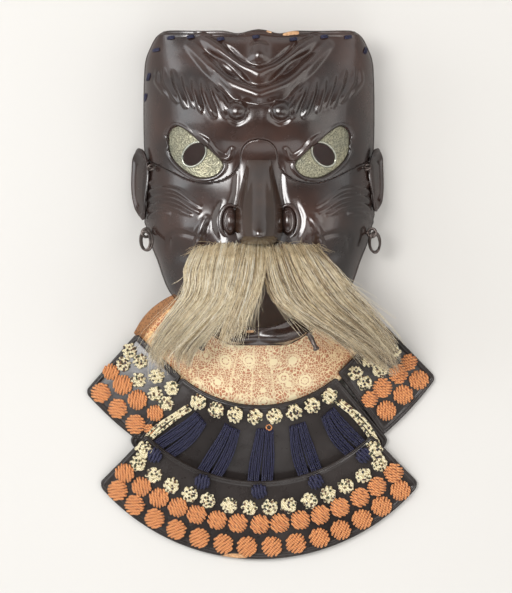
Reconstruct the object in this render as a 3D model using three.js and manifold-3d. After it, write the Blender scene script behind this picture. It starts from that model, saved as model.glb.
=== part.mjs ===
// A samurai's full face guard of lacquered iron, lying on its back.
// Millimetres: +X to the right of the face as it is seen, +Y to the top of the head, +Z up out of the face.
import * as THREE from 'three';
import { mergeVertices } from 'three/addons/utils/BufferGeometryUtils.js';
import Module from 'manifold-3d';

const wasm = await Module();
wasm.setup();

// The iron face
const MASK_WIDTH = 164;
const MASK_HEIGHT = 220;
const FACE_DEPTH = 84;
const SECTION_POWER = 2.4;
const PLATE_WALL = 2.2;
const SEAM_GAP = 0.5;
const RIM_WIDTH = 3;
const RIM_RISE = 1;
const FOLD_RISE = 3.2;
const BULGE_RISE = 5;
const FOLD_SINK = 0.2;
const VOLUTE_SINK = 1;
const CLEARANCE = 0.3;
const HOLLOW_REACH = 30;

// The nose
const NOSE_REACH = 34;
const NOSE_WIDTH = 35;
const NOSE_WALL = 2;
const NOSE_ROOT = 12;
const NOSE_LIP = 0.5;
const WING_RADIUS = 5.6;

// The eyes
const EYE_PLATE_WALL = 1.6;
const EYE_SINK = 1;
const PUPIL_LONG = 19;
const PUPIL_SHORT = 14;
const PUPIL_TURN = 47;

// The ears
const EAR_HEIGHT = 50;
const EAR_DEPTH = 27;
const EAR_FLARE = 5.5;
const EAR_WALL = 2.2;
const EAR_FRONT = 32;
const EAR_CORNER = 4;
const EAR_CURL = 0.9;
const EAR_DOWN = 0.375;

// The fittings of iron wire
const PIN_RADIUS = 0.9;
const PIN_EYE_RADIUS = 2.4;
const PIN_WIRE_RADIUS = 0.8;
const PIN_TAIL = 2.4;
const STAPLE_RADIUS = 2.9;
const STAPLE_WIRE_RADIUS = 1.1;
const STAPLE_HEIGHT = 28;
const RING_HALF_LENGTH = 8.2;
const RING_HALF_WIDTH = 4.2;
const RING_WIRE_RADIUS = 1.2;
const PEG_RADIUS = 1.7;
const PEG_LENGTH = 17;
const PEG_STAND = 3.6;
const PEG_KNOB_RADIUS = 2.3;
const PEG_TAIL = 2;
const PEG_COLLAR_RADIUS = 2.55;
const PEG_COLLAR_HEIGHT = 1.2;
const PEG_KNOB_HEIGHT = 2.4;

// The moustache
const LOCK_WIDTH = 13;
const LOCK_THICKNESS = 8;
const MOUSTACHE_LIFT = 13;
const BACKING_WIDTH = 9;
const BACKING_THICKNESS = 5;
const BACKING_RISE = 3.4;
const LOCK_ROOT_RISE = 3;

// The throat guard
const LEATHER_WALL = 1.8;
const LEATHER_FLOOR = 0.2;
const LAME_WALL = 2;
const LAME_RIM_WIDTH = 3;
const LAME_RIM_RISE = 1;
const BIB_RISE = 42;
const UPPER_RIM_RADIUS = 85;
const UPPER_LENGTH = 60.5;
const UPPER_HALF_ANGLE = 40;
const UPPER_RIM_HEIGHT = 22;
const UPPER_FOOT_HEIGHT = 1;
const WING_SEAM_GAP = 0.6;
const WING_RIM_ANGLE = 72;
const WING_FOOT_ANGLE = 62;
const WING_RIM_DROP = 9;
const WING_SEAM_LENGTH = 53;
const WING_LENGTH = 48;
const WING_FOOT_BOW = 1.6;
const LAME_OVERLAP = 6.5;
const LOWER_RIM_RADIUS = 113;
const LOWER_LENGTH = 55.5;
const LOWER_END_LENGTH = 47;
const LOWER_HALF_ANGLE = 45;
const LOWER_STAND = 2.95;
const LOWER_FOOT_HEIGHT = 3;

// The laces between the lames
const LACE_THICKNESS = 3;
const LACE_TOP_WIDTH = 10;
const LACE_FOOT_WIDTH = 14;
const LACE_BOW = 3.5;
const LACE_TOP_INSET = 18;
const LACE_FOOT_INSET = 8.5;
const LACE_COUNT = 5;
const LACE_SLANT = 2.4;
const LACE_POST = 3;
const LACE_POST_TAIL = 1.8;
const LACE_STOP_WALL = 1.2;
const LACE_KNOT_WIDTH = 10.4;
const END_LACE_KNOT_WIDTH = 7;
const END_LACE_WIDTH = 6.3;
const END_LACE_TOP_EDGE = 7.7;
const END_LACE_TOP_STEP = 6.3;
const END_LACE_TOP_INSET = 16;
const END_LACE_FOOT_EDGE = 2.2;
const END_LACE_FOOT_STEP = 4.4;
const END_LACE_FOOT_INSET = 12;

// Sizes that follow from those above
const HALF_WIDTH = MASK_WIDTH / 2;
const CUT_TOP = 2 * FACE_DEPTH;
const CUT_FLOOR = -HOLLOW_REACH;
const UPPER_FOOT_RADIUS = UPPER_RIM_RADIUS + UPPER_LENGTH;
const WING_RIM_RADIUS = UPPER_RIM_RADIUS + WING_RIM_DROP;
const WING_FOOT_RADIUS = WING_RIM_RADIUS + WING_LENGTH;
const WING_SEAM_FOOT_RADIUS = UPPER_RIM_RADIUS + WING_SEAM_LENGTH;
const END_LACE_TOP_ANGLE = UPPER_HALF_ANGLE - END_LACE_TOP_EDGE;
const END_LACE_FOOT_ANGLE = LOWER_HALF_ANGLE - END_LACE_FOOT_EDGE;
const LACE_TOP_SPAN = 2 * (END_LACE_TOP_ANGLE - END_LACE_TOP_STEP);
const LACE_FOOT_SPAN = 2 * (END_LACE_FOOT_ANGLE - END_LACE_FOOT_STEP);
const LACE_RIDE = LAME_WALL + 1.5 * CLEARANCE + LACE_THICKNESS / 2;
const LOWER_RIM_HEIGHT = UPPER_FOOT_HEIGHT + LAME_RIM_RISE + LACE_RIDE + LACE_THICKNESS / 2 + LOWER_STAND;

// Sections of the face from its top to its chin.
// down is a share of the mask's height, half of its half width, front and edge of its depth.
const FACE = [
  { down: 0.0, half: 0.79, front: 0.667, edge: 0.452 },
  { down: 0.018, half: 0.865, front: 0.69, edge: 0.405 },
  { down: 0.046, half: 0.918, front: 0.738, edge: 0.286 },
  { down: 0.088, half: 0.968, front: 0.78, edge: 0.155 },
  { down: 0.142, half: 0.985, front: 0.833, edge: 0.048 },
  { down: 0.221, half: 0.991, front: 0.915, edge: 0.0 },
  { down: 0.349, half: 0.988, front: 0.881, edge: 0.0 },
  { down: 0.419, half: 0.978, front: 0.84, edge: 0.0 },
  { down: 0.54, half: 1.0, front: 0.857, edge: 0.0 },
  { down: 0.635, half: 0.962, front: 0.875, edge: 0.0 },
  { down: 0.683, half: 0.925, front: 0.881, edge: 0.0 },
  { down: 0.737, half: 0.872, front: 0.905, edge: 0.071 },
  { down: 0.782, half: 0.825, front: 0.929, edge: 0.167 },
  { down: 0.83, half: 0.761, front: 0.952, edge: 0.286 },
  { down: 0.874, half: 0.66, front: 0.976, edge: 0.405 },
  { down: 0.922, half: 0.525, front: 1.0, edge: 0.536 },
  { down: 0.97, half: 0.376, front: 1.0, edge: 0.655 },
  { down: 1.0, half: 0.235, front: 0.96, edge: 0.738 },
];

// Wide swellings and hollows, mirrored where across isn't nought.
// across and spread are shares of the half width, down and tall of the height, rise of BULGE_RISE.
const BULGES = [
  { across: 0.36, down: 0.285, spread: 0.36, tall: 0.05, rise: 0.75 },
  { across: 0.0, down: 0.31, spread: 0.14, tall: 0.08, rise: 0.5 },
  { across: 0.5, down: 0.585, spread: 0.24, tall: 0.07, rise: 0.9 },
  { across: 0.66, down: 0.74, spread: 0.22, tall: 0.06, rise: -0.6 },
  { across: 0.3, down: 0.68, spread: 0.2, tall: 0.05, rise: 0.5 },
  { across: 0.0, down: 0.09, spread: 0.09, tall: 0.035, rise: 0.6 },
];

// Raised folds, each a bow through three points: x is a share of the half width, y of the height,
// wide half its width as a share of the half width, rise a share of FOLD_RISE, steps its straight stretches.
const BROW_FOLDS = [
  { x0: -0.02, y0: 0.155, x1: 0.18, y1: 0.128, x2: 0.37, y2: 0.062, wide: 0.044, rise: 0.9, steps: 3 },
  { x0: -0.02, y0: 0.212, x1: 0.22, y1: 0.18, x2: 0.46, y2: 0.095, wide: 0.051, rise: 0.9, steps: 3 },
  { x0: 0.87, y0: 0.125, x1: 0.86, y1: 0.17, x2: 0.775, y2: 0.212, wide: 0.029, rise: 0.6, steps: 2 },
  { x0: 0.8, y0: 0.12, x1: 0.78, y1: 0.175, x2: 0.68, y2: 0.235, wide: 0.029, rise: 0.7, steps: 2 },
  { x0: 0.72, y0: 0.135, x1: 0.68, y1: 0.19, x2: 0.6, y2: 0.25, wide: 0.032, rise: 0.8, steps: 2 },
  { x0: 0.6, y0: 0.16, x1: 0.55, y1: 0.205, x2: 0.49, y2: 0.26, wide: 0.032, rise: 0.8, steps: 2 },
  { x0: 0.49, y0: 0.17, x1: 0.44, y1: 0.22, x2: 0.37, y2: 0.28, wide: 0.032, rise: 0.9, steps: 2 },
  { x0: 0.4, y0: 0.19, x1: 0.31, y1: 0.25, x2: 0.19, y2: 0.284, wide: 0.039, rise: 1.0, steps: 3 },
  { x0: 0.7, y0: 0.315, x1: 0.45, y1: 0.345, x2: 0.3, y2: 0.42, wide: 0.037, rise: 0.9, steps: 3 },
];
const CHEEK_FOLDS = [
  { x0: 0.93, y0: 0.505, x1: 0.72, y1: 0.5, x2: 0.49, y2: 0.562, wide: 0.032, rise: 0.6, steps: 2 },
  { x0: 0.93, y0: 0.532, x1: 0.72, y1: 0.527, x2: 0.49, y2: 0.582, wide: 0.032, rise: 0.6, steps: 2 },
  { x0: 0.93, y0: 0.56, x1: 0.72, y1: 0.553, x2: 0.55, y2: 0.592, wide: 0.032, rise: 0.5, steps: 2 },
  { x0: 0.42, y0: 0.6, x1: 0.46, y1: 0.67, x2: 0.56, y2: 0.76, wide: 0.049, rise: 0.7, steps: 2 },
  { x0: -0.02, y0: 0.972, x1: 0.2, y1: 0.965, x2: 0.4, y2: 0.945, wide: 0.056, rise: 1.0, steps: 3 },
];
const VOLUTE = { across: 0.185, down: 0.26, radius: 0.08 };

// The seam between the two halves, from the side to the middle, as shares of half width and height.
const SEAM = [
  { x: 1.2, y: 0.4 },
  { x: 0.97, y: 0.413 },
  { x: 0.885, y: 0.425 },
  { x: 0.79, y: 0.443 },
  { x: 0.62, y: 0.475 },
  { x: 0.49, y: 0.489 },
  { x: 0.35, y: 0.485 },
  { x: 0.24, y: 0.467 },
  { x: 0.17, y: 0.435 },
  { x: 0.145, y: 0.387 },
  { x: 0.09, y: 0.36 },
  { x: 0.0, y: 0.35 },
];

// The outline of an eye socket, outer end first, as shares of half width and height.
const EYE = [
  { x: 0.78, y: 0.338 },
  { x: 0.735, y: 0.313 },
  { x: 0.665, y: 0.31 },
  { x: 0.575, y: 0.333 },
  { x: 0.48, y: 0.365 },
  { x: 0.37, y: 0.4 },
  { x: 0.305, y: 0.433 },
  { x: 0.36, y: 0.462 },
  { x: 0.45, y: 0.472 },
  { x: 0.54, y: 0.468 },
  { x: 0.64, y: 0.446 },
  { x: 0.73, y: 0.412 },
  { x: 0.775, y: 0.375 },
];
const PUPIL = { x: 0.545, y: 0.398 };

// The nose from its root to its underside: half is a share of the nose's half width, reach of its reach.
const NOSE = [
  { down: 0.418, half: 0.48, reach: 0.07 },
  { down: 0.44, half: 0.56, reach: 0.16 },
  { down: 0.51, half: 0.78, reach: 0.46 },
  { down: 0.57, half: 0.96, reach: 0.72 },
  { down: 0.62, half: 1.0, reach: 0.92 },
  { down: 0.655, half: 0.9, reach: 1.0 },
  { down: 0.685, half: 0.62, reach: 0.9 },
];
const NOSE_WING = { across: 0.245, down: 0.612, tall: 1.7 };

const MOUTH = { half: 0.33, top: 0.8, bottom: 0.945 };
const NOSE_HOLE = { half: 0.14, top: 0.47, bottom: 0.665 };
const PIN_PLACE = { x: 0.885, y: 0.425 };
const STAPLE_DOWN = 0.643;
const PEG_PLACE = { x: 0.4, y: 0.946 };

// The inner edge of the throat leather at the jaw's rim: turn in degrees from straight down,
// near as a share of the way to the jaw's outline, sunk under the rim as a share of the leather's wall.
const LEATHER_EDGE = [
  { turn: 0, near: 0.961, sunk: 0.33 },
  { turn: 12, near: 0.970, sunk: 0.50 },
  { turn: 24, near: 0.961, sunk: 1.22 },
  { turn: 33, near: 0.983, sunk: 0.83 },
  { turn: 42, near: 0.994, sunk: 0.56 },
  { turn: 60, near: 1.026, sunk: 0.56 },
  { turn: 79, near: 0.957, sunk: 0.56 },
  { turn: 86, near: 0.962, sunk: 0.56 },
];
const LEATHER_INNER_ANGLE = 84;
const LEATHER_OUTER_ANGLE = 69;
const LEATHER_TUCK = 4;
const LEATHER_TUCK_SHARE = 0.9;
const CHIN_TURN = 20;

// The moustache's locks from root to tip: x is a share of the half width, y of the mask's height,
// middle and tip are heights as shares of the face's depth.
const LEFT_LOCKS = [
  { x0: -0.5, y0: 0.71, x1: -0.68, y1: 0.86, x2: -0.77, y2: 1.09, middle: 0.92, tip: 0.45, size: 1.0 },
  { x0: -0.41, y0: 0.705, x1: -0.6, y1: 0.88, x2: -0.81, y2: 1.05, middle: 0.97, tip: 0.47, size: 1.0 },
  { x0: -0.32, y0: 0.705, x1: -0.48, y1: 0.86, x2: -0.66, y2: 1.04, middle: 1.06, tip: 0.52, size: 1.0 },
  { x0: -0.22, y0: 0.71, x1: -0.36, y1: 0.85, x2: -0.52, y2: 1.0, middle: 1.12, tip: 0.86, size: 0.9 },
  { x0: -0.12, y0: 0.715, x1: -0.2, y1: 0.84, x2: -0.25, y2: 0.99, middle: 1.16, tip: 1.18, size: 0.7 },
];
const RIGHT_LOCKS = [
  { x0: 0.5, y0: 0.71, x1: 0.74, y1: 0.85, x2: 1.09, y2: 1.07, middle: 0.92, tip: 0.4, size: 1.0 },
  { x0: 0.41, y0: 0.705, x1: 0.64, y1: 0.86, x2: 0.99, y2: 1.03, middle: 0.97, tip: 0.45, size: 1.0 },
  { x0: 0.31, y0: 0.705, x1: 0.52, y1: 0.85, x2: 0.84, y2: 1.0, middle: 1.06, tip: 0.58, size: 1.0 },
  { x0: 0.21, y0: 0.71, x1: 0.36, y1: 0.83, x2: 0.62, y2: 0.95, middle: 1.12, tip: 0.8, size: 0.9 },
  { x0: 0.11, y0: 0.715, x1: 0.19, y1: 0.82, x2: 0.34, y2: 0.92, middle: 1.16, tip: 1.14, size: 0.7 },
];

const BACKING = { inner: 0.02, outer: 0.49, down: 0.71 };

const part = new THREE.Group();
const radians = THREE.MathUtils.degToRad;

// Solids and meshes
function solidOf(geometry) {
  const bare = geometry.clone();
  bare.deleteAttribute('normal');
  bare.deleteAttribute('uv');
  const merged = mergeVertices(bare, 1e-4);
  const mesh = new wasm.Mesh({
    numProp: 3,
    vertProperties: new Float32Array(merged.attributes.position.array),
    triVerts: new Uint32Array(merged.index.array),
  });
  return new wasm.Manifold(mesh);
}

function addPiece(name, solid, material) {
  const mesh = solid.getMesh();
  const geometry = new THREE.BufferGeometry();
  geometry.setAttribute('position', new THREE.BufferAttribute(new Float32Array(mesh.vertProperties), 3));
  geometry.setIndex(new THREE.BufferAttribute(new Uint32Array(mesh.triVerts), 1));
  geometry.computeVertexNormals();
  const piece = new THREE.Mesh(geometry, material);
  piece.name = name;
  part.add(piece);
}

function finish(color, roughness, metalness) {
  return new THREE.MeshStandardMaterial({ color, roughness, metalness });
}

function fused(solids) {
  return solids.reduce((whole, next) => whole.add(next));
}

// A value of a table at a place between its rows, with smooth slopes.
function along(table, place, key, value) {
  const last = table.length - 1;
  const found = table.findIndex((row) => row[key] > place);
  const i = found < 0 ? last - 1 : Math.max(0, found - 1);
  const slope = (k) => {
    const before = table[Math.max(0, k - 1)];
    const after = table[Math.min(last, k + 1)];
    return (after[value] - before[value]) / (after[key] - before[key]);
  };
  const span = table[i + 1][key] - table[i][key];
  const t = THREE.MathUtils.clamp((place - table[i][key]) / span, 0, 1);
  const rise = table[i + 1][value] - table[i][value];
  const start = slope(i) * span;
  const end = slope(i + 1) * span;
  const square = 3 * rise - 2 * start - end;
  const cube = start + end - 2 * rise;
  return table[i][value] + t * start + t * t * square + t * t * t * cube;
}

function spread(count, low = 0, high = 1) {
  return Array.from({ length: count + 1 }, (_, i) => low + ((high - low) * i) / count);
}

// A solid from its corners and faces, turned the right way out.
function facedSolid(points, faces) {
  const geometry = new THREE.BufferGeometry();
  geometry.setAttribute('position', new THREE.Float32BufferAttribute(points, 3));
  const corner = (k) => new THREE.Vector3(points[3 * k], points[3 * k + 1], points[3 * k + 2]);
  let volume = 0;
  for (let i = 0; i < faces.length; i += 3) {
    volume += corner(faces[i]).dot(corner(faces[i + 1]).cross(corner(faces[i + 2])));
  }
  geometry.setIndex(volume > 0 ? faces : faces.reverse());
  return solidOf(geometry);
}

// A closed sheet between an upper and a lower surface over a grid of two parameters.
function sheetSolid(us, vs, upper, lower) {
  const points = [];
  for (const surface of [upper, lower]) {
    for (const u of us) {
      for (const v of vs) {
        points.push(...surface(u, v));
      }
    }
  }
  const wide = vs.length;
  const under = us.length * wide;
  const faces = [];
  const quad = (a, b, c, d) => faces.push(a, b, c, a, c, d);
  for (let i = 0; i < us.length - 1; i++) {
    for (let j = 0; j < wide - 1; j++) {
      const a = i * wide + j;
      quad(a, a + 1, a + wide + 1, a + wide);
      quad(under + a, under + a + wide, under + a + wide + 1, under + a + 1);
    }
  }
  for (let j = 0; j < wide - 1; j++) {
    const end = (us.length - 1) * wide + j;
    quad(j, under + j, under + j + 1, j + 1);
    quad(end, end + 1, under + end + 1, under + end);
  }
  for (let i = 0; i < us.length - 1; i++) {
    const a = i * wide;
    const b = a + wide - 1;
    quad(a, a + wide, under + a + wide, under + a);
    quad(b, under + b, under + b + wide, b + wide);
  }
  return facedSolid(points, faces);
}

// A closed bar along a curve, with an oval section that changes on the way.
function barSolid(curve, steps, sides, wideAt, thickAt, up) {
  const points = [];
  const faces = [];
  for (let i = 0; i <= steps; i++) {
    const t = i / steps;
    const centre = curve.getPoint(t);
    const ahead = curve.getTangent(t);
    const across = new THREE.Vector3().crossVectors(ahead, up).normalize();
    const over = new THREE.Vector3().crossVectors(across, ahead).normalize();
    for (let k = 0; k < sides; k++) {
      const turn = (2 * Math.PI * k) / sides;
      const point = centre.clone();
      point.addScaledVector(across, (Math.cos(turn) * wideAt(t)) / 2);
      point.addScaledVector(over, (Math.sin(turn) * thickAt(t)) / 2);
      points.push(point.x, point.y, point.z);
    }
  }
  for (let i = 0; i < steps; i++) {
    for (let k = 0; k < sides; k++) {
      const a = i * sides + k;
      const b = i * sides + ((k + 1) % sides);
      faces.push(a, b, b + sides, a, b + sides, a + sides);
    }
  }
  const end = steps * sides;
  for (let k = 1; k < sides - 1; k++) {
    faces.push(0, k + 1, k, end, end + k, end + k + 1);
  }
  return facedSolid(points, faces);
}

// A straight prism along Z through an outline of points.
function prismSolid(outline, low, high) {
  const shape = new THREE.Shape(outline);
  const geometry = new THREE.ExtrudeGeometry(shape, { depth: high - low, bevelEnabled: false });
  geometry.translate(0, 0, low);
  return solidOf(geometry);
}

// The form of the face
function heightAt(down) {
  return -down * MASK_HEIGHT;
}

function downAt(y) {
  return THREE.MathUtils.clamp(-y / MASK_HEIGHT, 0, 1);
}

function section(down) {
  return {
    half: along(FACE, down, 'down', 'half') * HALF_WIDTH,
    front: along(FACE, down, 'down', 'front') * FACE_DEPTH,
    edge: Math.max(0, along(FACE, down, 'down', 'edge')) * FACE_DEPTH,
  };
}

function faceAt(x, y) {
  const { half, front, edge } = section(downAt(y));
  const share = Math.min(1, Math.abs(x) / half);
  return edge + (front - edge) * (1 - share ** SECTION_POWER) ** (1 / SECTION_POWER);
}

function bulgeAt(x, y) {
  let rise = 0;
  for (const bulge of BULGES) {
    const across = (Math.abs(x) / HALF_WIDTH - bulge.across) / bulge.spread;
    const down = (-y / MASK_HEIGHT - bulge.down) / bulge.tall;
    rise += bulge.rise * BULGE_RISE * Math.exp(-across * across - down * down);
  }
  return rise;
}

// A point of the face's surface, moved out by offset: turn runs from 0 on one side to 1 on the other.
function facePoint(turn, down, offset) {
  const place = (t, d) => {
    const { half, front, edge } = section(d);
    const angle = Math.PI * (1 - t);
    const cosine = Math.cos(angle);
    const sine = Math.max(0, Math.sin(angle));
    return new THREE.Vector3(
      half * Math.sign(cosine) * Math.abs(cosine) ** (2 / SECTION_POWER),
      heightAt(d),
      edge + (front - edge) * sine ** (2 / SECTION_POWER),
    );
  };
  const step = 0.004;
  const t = THREE.MathUtils.clamp(turn, 2 * step, 1 - 2 * step);
  const d = THREE.MathUtils.clamp(down, step, 1 - step);
  const over = place(t + step, d).sub(place(t - step, d));
  const below = place(t, d - step).sub(place(t, d + step));
  const normal = over.cross(below).normalize();
  if (turn < 2 * step || turn > 1 - 2 * step) {
    normal.z = 0;
  }
  if (down < step || down > 1 - step) {
    normal.y = 0;
  }
  normal.normalize();
  const point = place(turn, down);
  const onRim = Math.min(turn, 1 - turn) <= RIM_TURN || down <= RIM_DOWN;
  const rim = offset < 0 || !onRim ? 0 : RIM_RISE;
  const level = bulgeAt(point.x, point.y) * Math.sin(Math.PI * turn) ** 0.5;
  return point.addScaledVector(normal, level + rim + offset);
}

// The block inside a surface of the face. A reach makes it run past the rear, the top and the chin.
function faceBlock(offset, turns, downs, reach) {
  const rows = reach > 0 ? [0, ...downs, 1] : downs;
  const place = (i, turn) => {
    const point = facePoint(turn, rows[i], offset);
    if (reach > 0 && i === 0) {
      point.y += reach;
    }
    if (reach > 0 && i === rows.length - 1) {
      point.y -= reach;
    }
    return point;
  };
  const upper = (i, turn) => place(i, turn).toArray();
  const lower = (i, turn) => {
    const point = place(i, turn);
    const rear = facePoint(0, rows[i], offset).z;
    return [point.x, point.y, rear - (reach > 0 ? reach : 0.01)];
  };
  const indices = rows.map((_, i) => i);
  return sheetSolid(indices, turns, (i, t) => upper(i, t), (i, t) => lower(i, t));
}

function foldCurve(fold, side) {
  const points = [0, 1, 2].map((k) => {
    const x = side * fold[`x${k}`] * HALF_WIDTH;
    const y = heightAt(fold[`y${k}`]);
    return new THREE.Vector2(x, y);
  });
  const flat = new THREE.SplineCurve(points);
  const raised = spread(4).map((t) => {
    const { x, y } = flat.getPoint(t);
    return new THREE.Vector3(x, y, faceAt(x, y) + bulgeAt(x, y) - FOLD_SINK);
  });
  return new THREE.CatmullRomCurve3(raised);
}

function foldSolid(fold, side, grow) {
  const curve = foldCurve(fold, side);
  const taper = (t) => 0.25 + 0.75 * Math.sin(Math.PI * THREE.MathUtils.clamp(t, 0.08, 0.92)) ** 0.6;
  const up = new THREE.Vector3(0, 0, 1);
  const rise = 2 * fold.rise * FOLD_RISE;
  const more = 2 * grow;
  const wideAt = (t) => 2 * fold.wide * HALF_WIDTH * taper(t) + more;
  return barSolid(curve, fold.steps, 4, wideAt, (t) => rise * taper(t) + more, up);
}

function outline(table, side, grow) {
  const middle = new THREE.Vector2(0, 0);
  const points = table.map((row) => new THREE.Vector2(side * row.x * HALF_WIDTH, heightAt(row.y)));
  for (const point of points) {
    middle.addScaledVector(point, 1 / points.length);
  }
  return points.map((point) => {
    const away = point.clone().sub(middle);
    return middle.clone().addScaledVector(away, 1 + grow / away.length());
  });
}

const RIM_TURN = Math.asin((RIM_WIDTH / FACE_DEPTH) ** (SECTION_POWER / 2)) / Math.PI;
const RIM_DOWN = RIM_WIDTH / MASK_HEIGHT;
const RIM_STEP = 1.3;
const RIM_TURNS = [0, RIM_TURN, RIM_STEP * RIM_TURN];
const FINE_TURNS = [...RIM_TURNS, ...spread(12, 0.06, 0.94), ...RIM_TURNS.map((t) => 1 - t).reverse()];
const COARSE_TURNS = [0, ...spread(10, 0.04, 0.96), 1];
const FINE_DOWNS = [0, RIM_DOWN, RIM_STEP * RIM_DOWN, ...spread(14, 0.055, 0.97), 1];
const COARSE_DOWNS = spread(11);

// The outer form of the face with its folds, grown by a clearance
function faceForm(grow) {
  const folds = [];
  for (const side of [-1, 1]) {
    for (const fold of [...BROW_FOLDS, ...CHEEK_FOLDS]) {
      folds.push(foldSolid(fold, side, grow));
    }
    const x = side * VOLUTE.across * HALF_WIDTH;
    const y = heightAt(VOLUTE.down);
    const ball = new THREE.SphereGeometry(VOLUTE.radius * HALF_WIDTH + grow, 9, 6);
    ball.scale(1, 1, 0.7);
    ball.translate(x, y, faceAt(x, y) + bulgeAt(x, y) - VOLUTE_SINK);
    folds.push(solidOf(ball));
  }
  return fused([faceBlock(grow, FINE_TURNS, FINE_DOWNS, 0), ...folds]);
}

// Materials
const lacquer = finish(0x2b1f1b, 0.22, 0.35);
const noseLacquer = finish(0x3a271c, 0.22, 0.35);
const gilt = finish(0x8f9184, 0.5, 0.6);
const iron = finish(0x2a2625, 0.5, 0.7);
const hair = finish(0xc2b291, 0.8, 0);
const leather = finish(0xd9b27c, 0.8, 0);
const lameLacquer = finish(0x2c2522, 0.35, 0.2);
const blueSilk = finish(0x23234a, 0.9, 0);
const creamSilk = finish(0xe3dab8, 0.9, 0);

const SIDES = [
  { name: 'left', sign: -1 },
  { name: 'right', sign: 1 },
];

// The region of the brow plate, its lower border moved down by a shift
function browRegion(shift) {
  const right = SEAM.map((row) => new THREE.Vector2(row.x * HALF_WIDTH, heightAt(row.y) - shift));
  const left = right.slice(0, -1).reverse().map((point) => new THREE.Vector2(-point.x, point.y));
  const top = 3 * RIM_WIDTH;
  const wide = SEAM[0].x * HALF_WIDTH;
  const corners = [new THREE.Vector2(-wide, top), new THREE.Vector2(wide, top)];
  return prismSolid([...right, ...left, ...corners], CUT_FLOOR, CUT_TOP);
}

function ovalOutline(x, y, long, short, turn, count) {
  const curve = new THREE.EllipseCurve(x, y, long, short, 0, 2 * Math.PI, false, turn);
  return curve.getPoints(count).slice(0, count);
}

function pupilOutline(side) {
  const x = side * PUPIL.x * HALF_WIDTH;
  return ovalOutline(x, heightAt(PUPIL.y), PUPIL_LONG / 2, PUPIL_SHORT / 2, -side * radians(PUPIL_TURN), 18);
}

// The half width of the face at a height above its rear edge
function halfAt(y, z) {
  const { half, front, edge } = section(downAt(y));
  const share = THREE.MathUtils.clamp((z - edge) / (front - edge), 0, 1);
  return half * (1 - share ** SECTION_POWER) ** (1 / SECTION_POWER);
}

// A frame standing on the face at a point of it: out along the surface's normal, down along the surface.
function standOn(foot) {
  const side = Math.sign(foot.x);
  const { half, front, edge } = section(downAt(foot.y));
  const out = new THREE.Vector3(
    side * Math.abs(foot.x / half) ** (SECTION_POWER - 1) / half,
    0,
    ((foot.z - edge) / (front - edge)) ** (SECTION_POWER - 1) / (front - edge),
  ).normalize();
  const down = new THREE.Vector3(0, -1, 0);
  const across = new THREE.Vector3().crossVectors(down, out);
  const frame = new THREE.Matrix4().makeBasis(across, down, out);
  frame.setPosition(foot);
  return frame;
}

function roundBar(radius, low, high, sides) {
  const bar = new THREE.CylinderGeometry(radius, radius, high - low, sides);
  bar.rotateX(Math.PI / 2);
  bar.translate(0, 0, (high + low) / 2);
  return bar;
}

function placed(geometry, frame) {
  return solidOf(geometry.clone().applyMatrix4(frame));
}

// The ring-headed pins, the staples and their rings
function pinParts(side) {
  const x = side * PIN_PLACE.x * HALF_WIDTH;
  const y = heightAt(PIN_PLACE.y) - SEAM_GAP - PIN_RADIUS * 2;
  const frame = standOn(new THREE.Vector3(x, y, faceAt(x, y) + bulgeAt(x, y)));
  const eye = new THREE.TorusGeometry(PIN_EYE_RADIUS, PIN_WIRE_RADIUS, 5, 10);
  eye.rotateY(Math.PI / 2);
  eye.translate(0, 0, PIN_EYE_RADIUS + PIN_WIRE_RADIUS + CLEARANCE);
  const stem = roundBar(PIN_RADIUS, -PLATE_WALL - PIN_TAIL, 2 * PIN_WIRE_RADIUS + CLEARANCE, 8);
  const tail = new THREE.BoxGeometry(4 * PIN_RADIUS, 1.4 * PIN_RADIUS, PIN_RADIUS);
  tail.translate(0, 0, -PLATE_WALL - PIN_TAIL);
  const hole = roundBar(PIN_RADIUS + CLEARANCE, -2 * PLATE_WALL, 2 * PLATE_WALL, 8);
  return { pin: fused([eye, stem, tail].map((piece) => placed(piece, frame))), hole: placed(hole, frame) };
}

function stapleParts(side) {
  const y = heightAt(STAPLE_DOWN);
  const frame = standOn(new THREE.Vector3(side * halfAt(y, STAPLE_HEIGHT), y, STAPLE_HEIGHT));
  const eyeHeight = STAPLE_RADIUS + STAPLE_WIRE_RADIUS + CLEARANCE;
  const eye = new THREE.TorusGeometry(STAPLE_RADIUS, STAPLE_WIRE_RADIUS, 5, 10);
  eye.rotateY(Math.PI / 2);
  eye.translate(0, 0, eyeHeight);
  const stem = roundBar(STAPLE_WIRE_RADIUS, -PLATE_WALL - PIN_TAIL, STAPLE_WIRE_RADIUS + CLEARANCE, 8);
  const thick = STAPLE_WIRE_RADIUS;
  const tail = new THREE.BoxGeometry(4 * thick, 1.4 * thick, thick);
  tail.translate(0, 0, -PLATE_WALL - PIN_TAIL);
  const hole = roundBar(STAPLE_WIRE_RADIUS + CLEARANCE, -2 * PLATE_WALL, 2 * PLATE_WALL, 8);
  const ring = new THREE.TorusGeometry(RING_HALF_WIDTH, RING_WIRE_RADIUS, 5, 14);
  const stretch = RING_HALF_LENGTH - RING_HALF_WIDTH;
  const spots = ring.attributes.position;
  for (let i = 0; i < spots.count; i++) {
    const along = spots.getY(i);
    spots.setY(i, Math.abs(along) < 0.01 ? 0 : along + stretch * Math.sign(along));
  }
  ring.translate(0, RING_HALF_LENGTH, eyeHeight);
  return {
    staple: fused([eye, stem, tail].map((piece) => placed(piece, frame))),
    ring: placed(ring, frame),
    hole: placed(hole, frame),
  };
}

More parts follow.
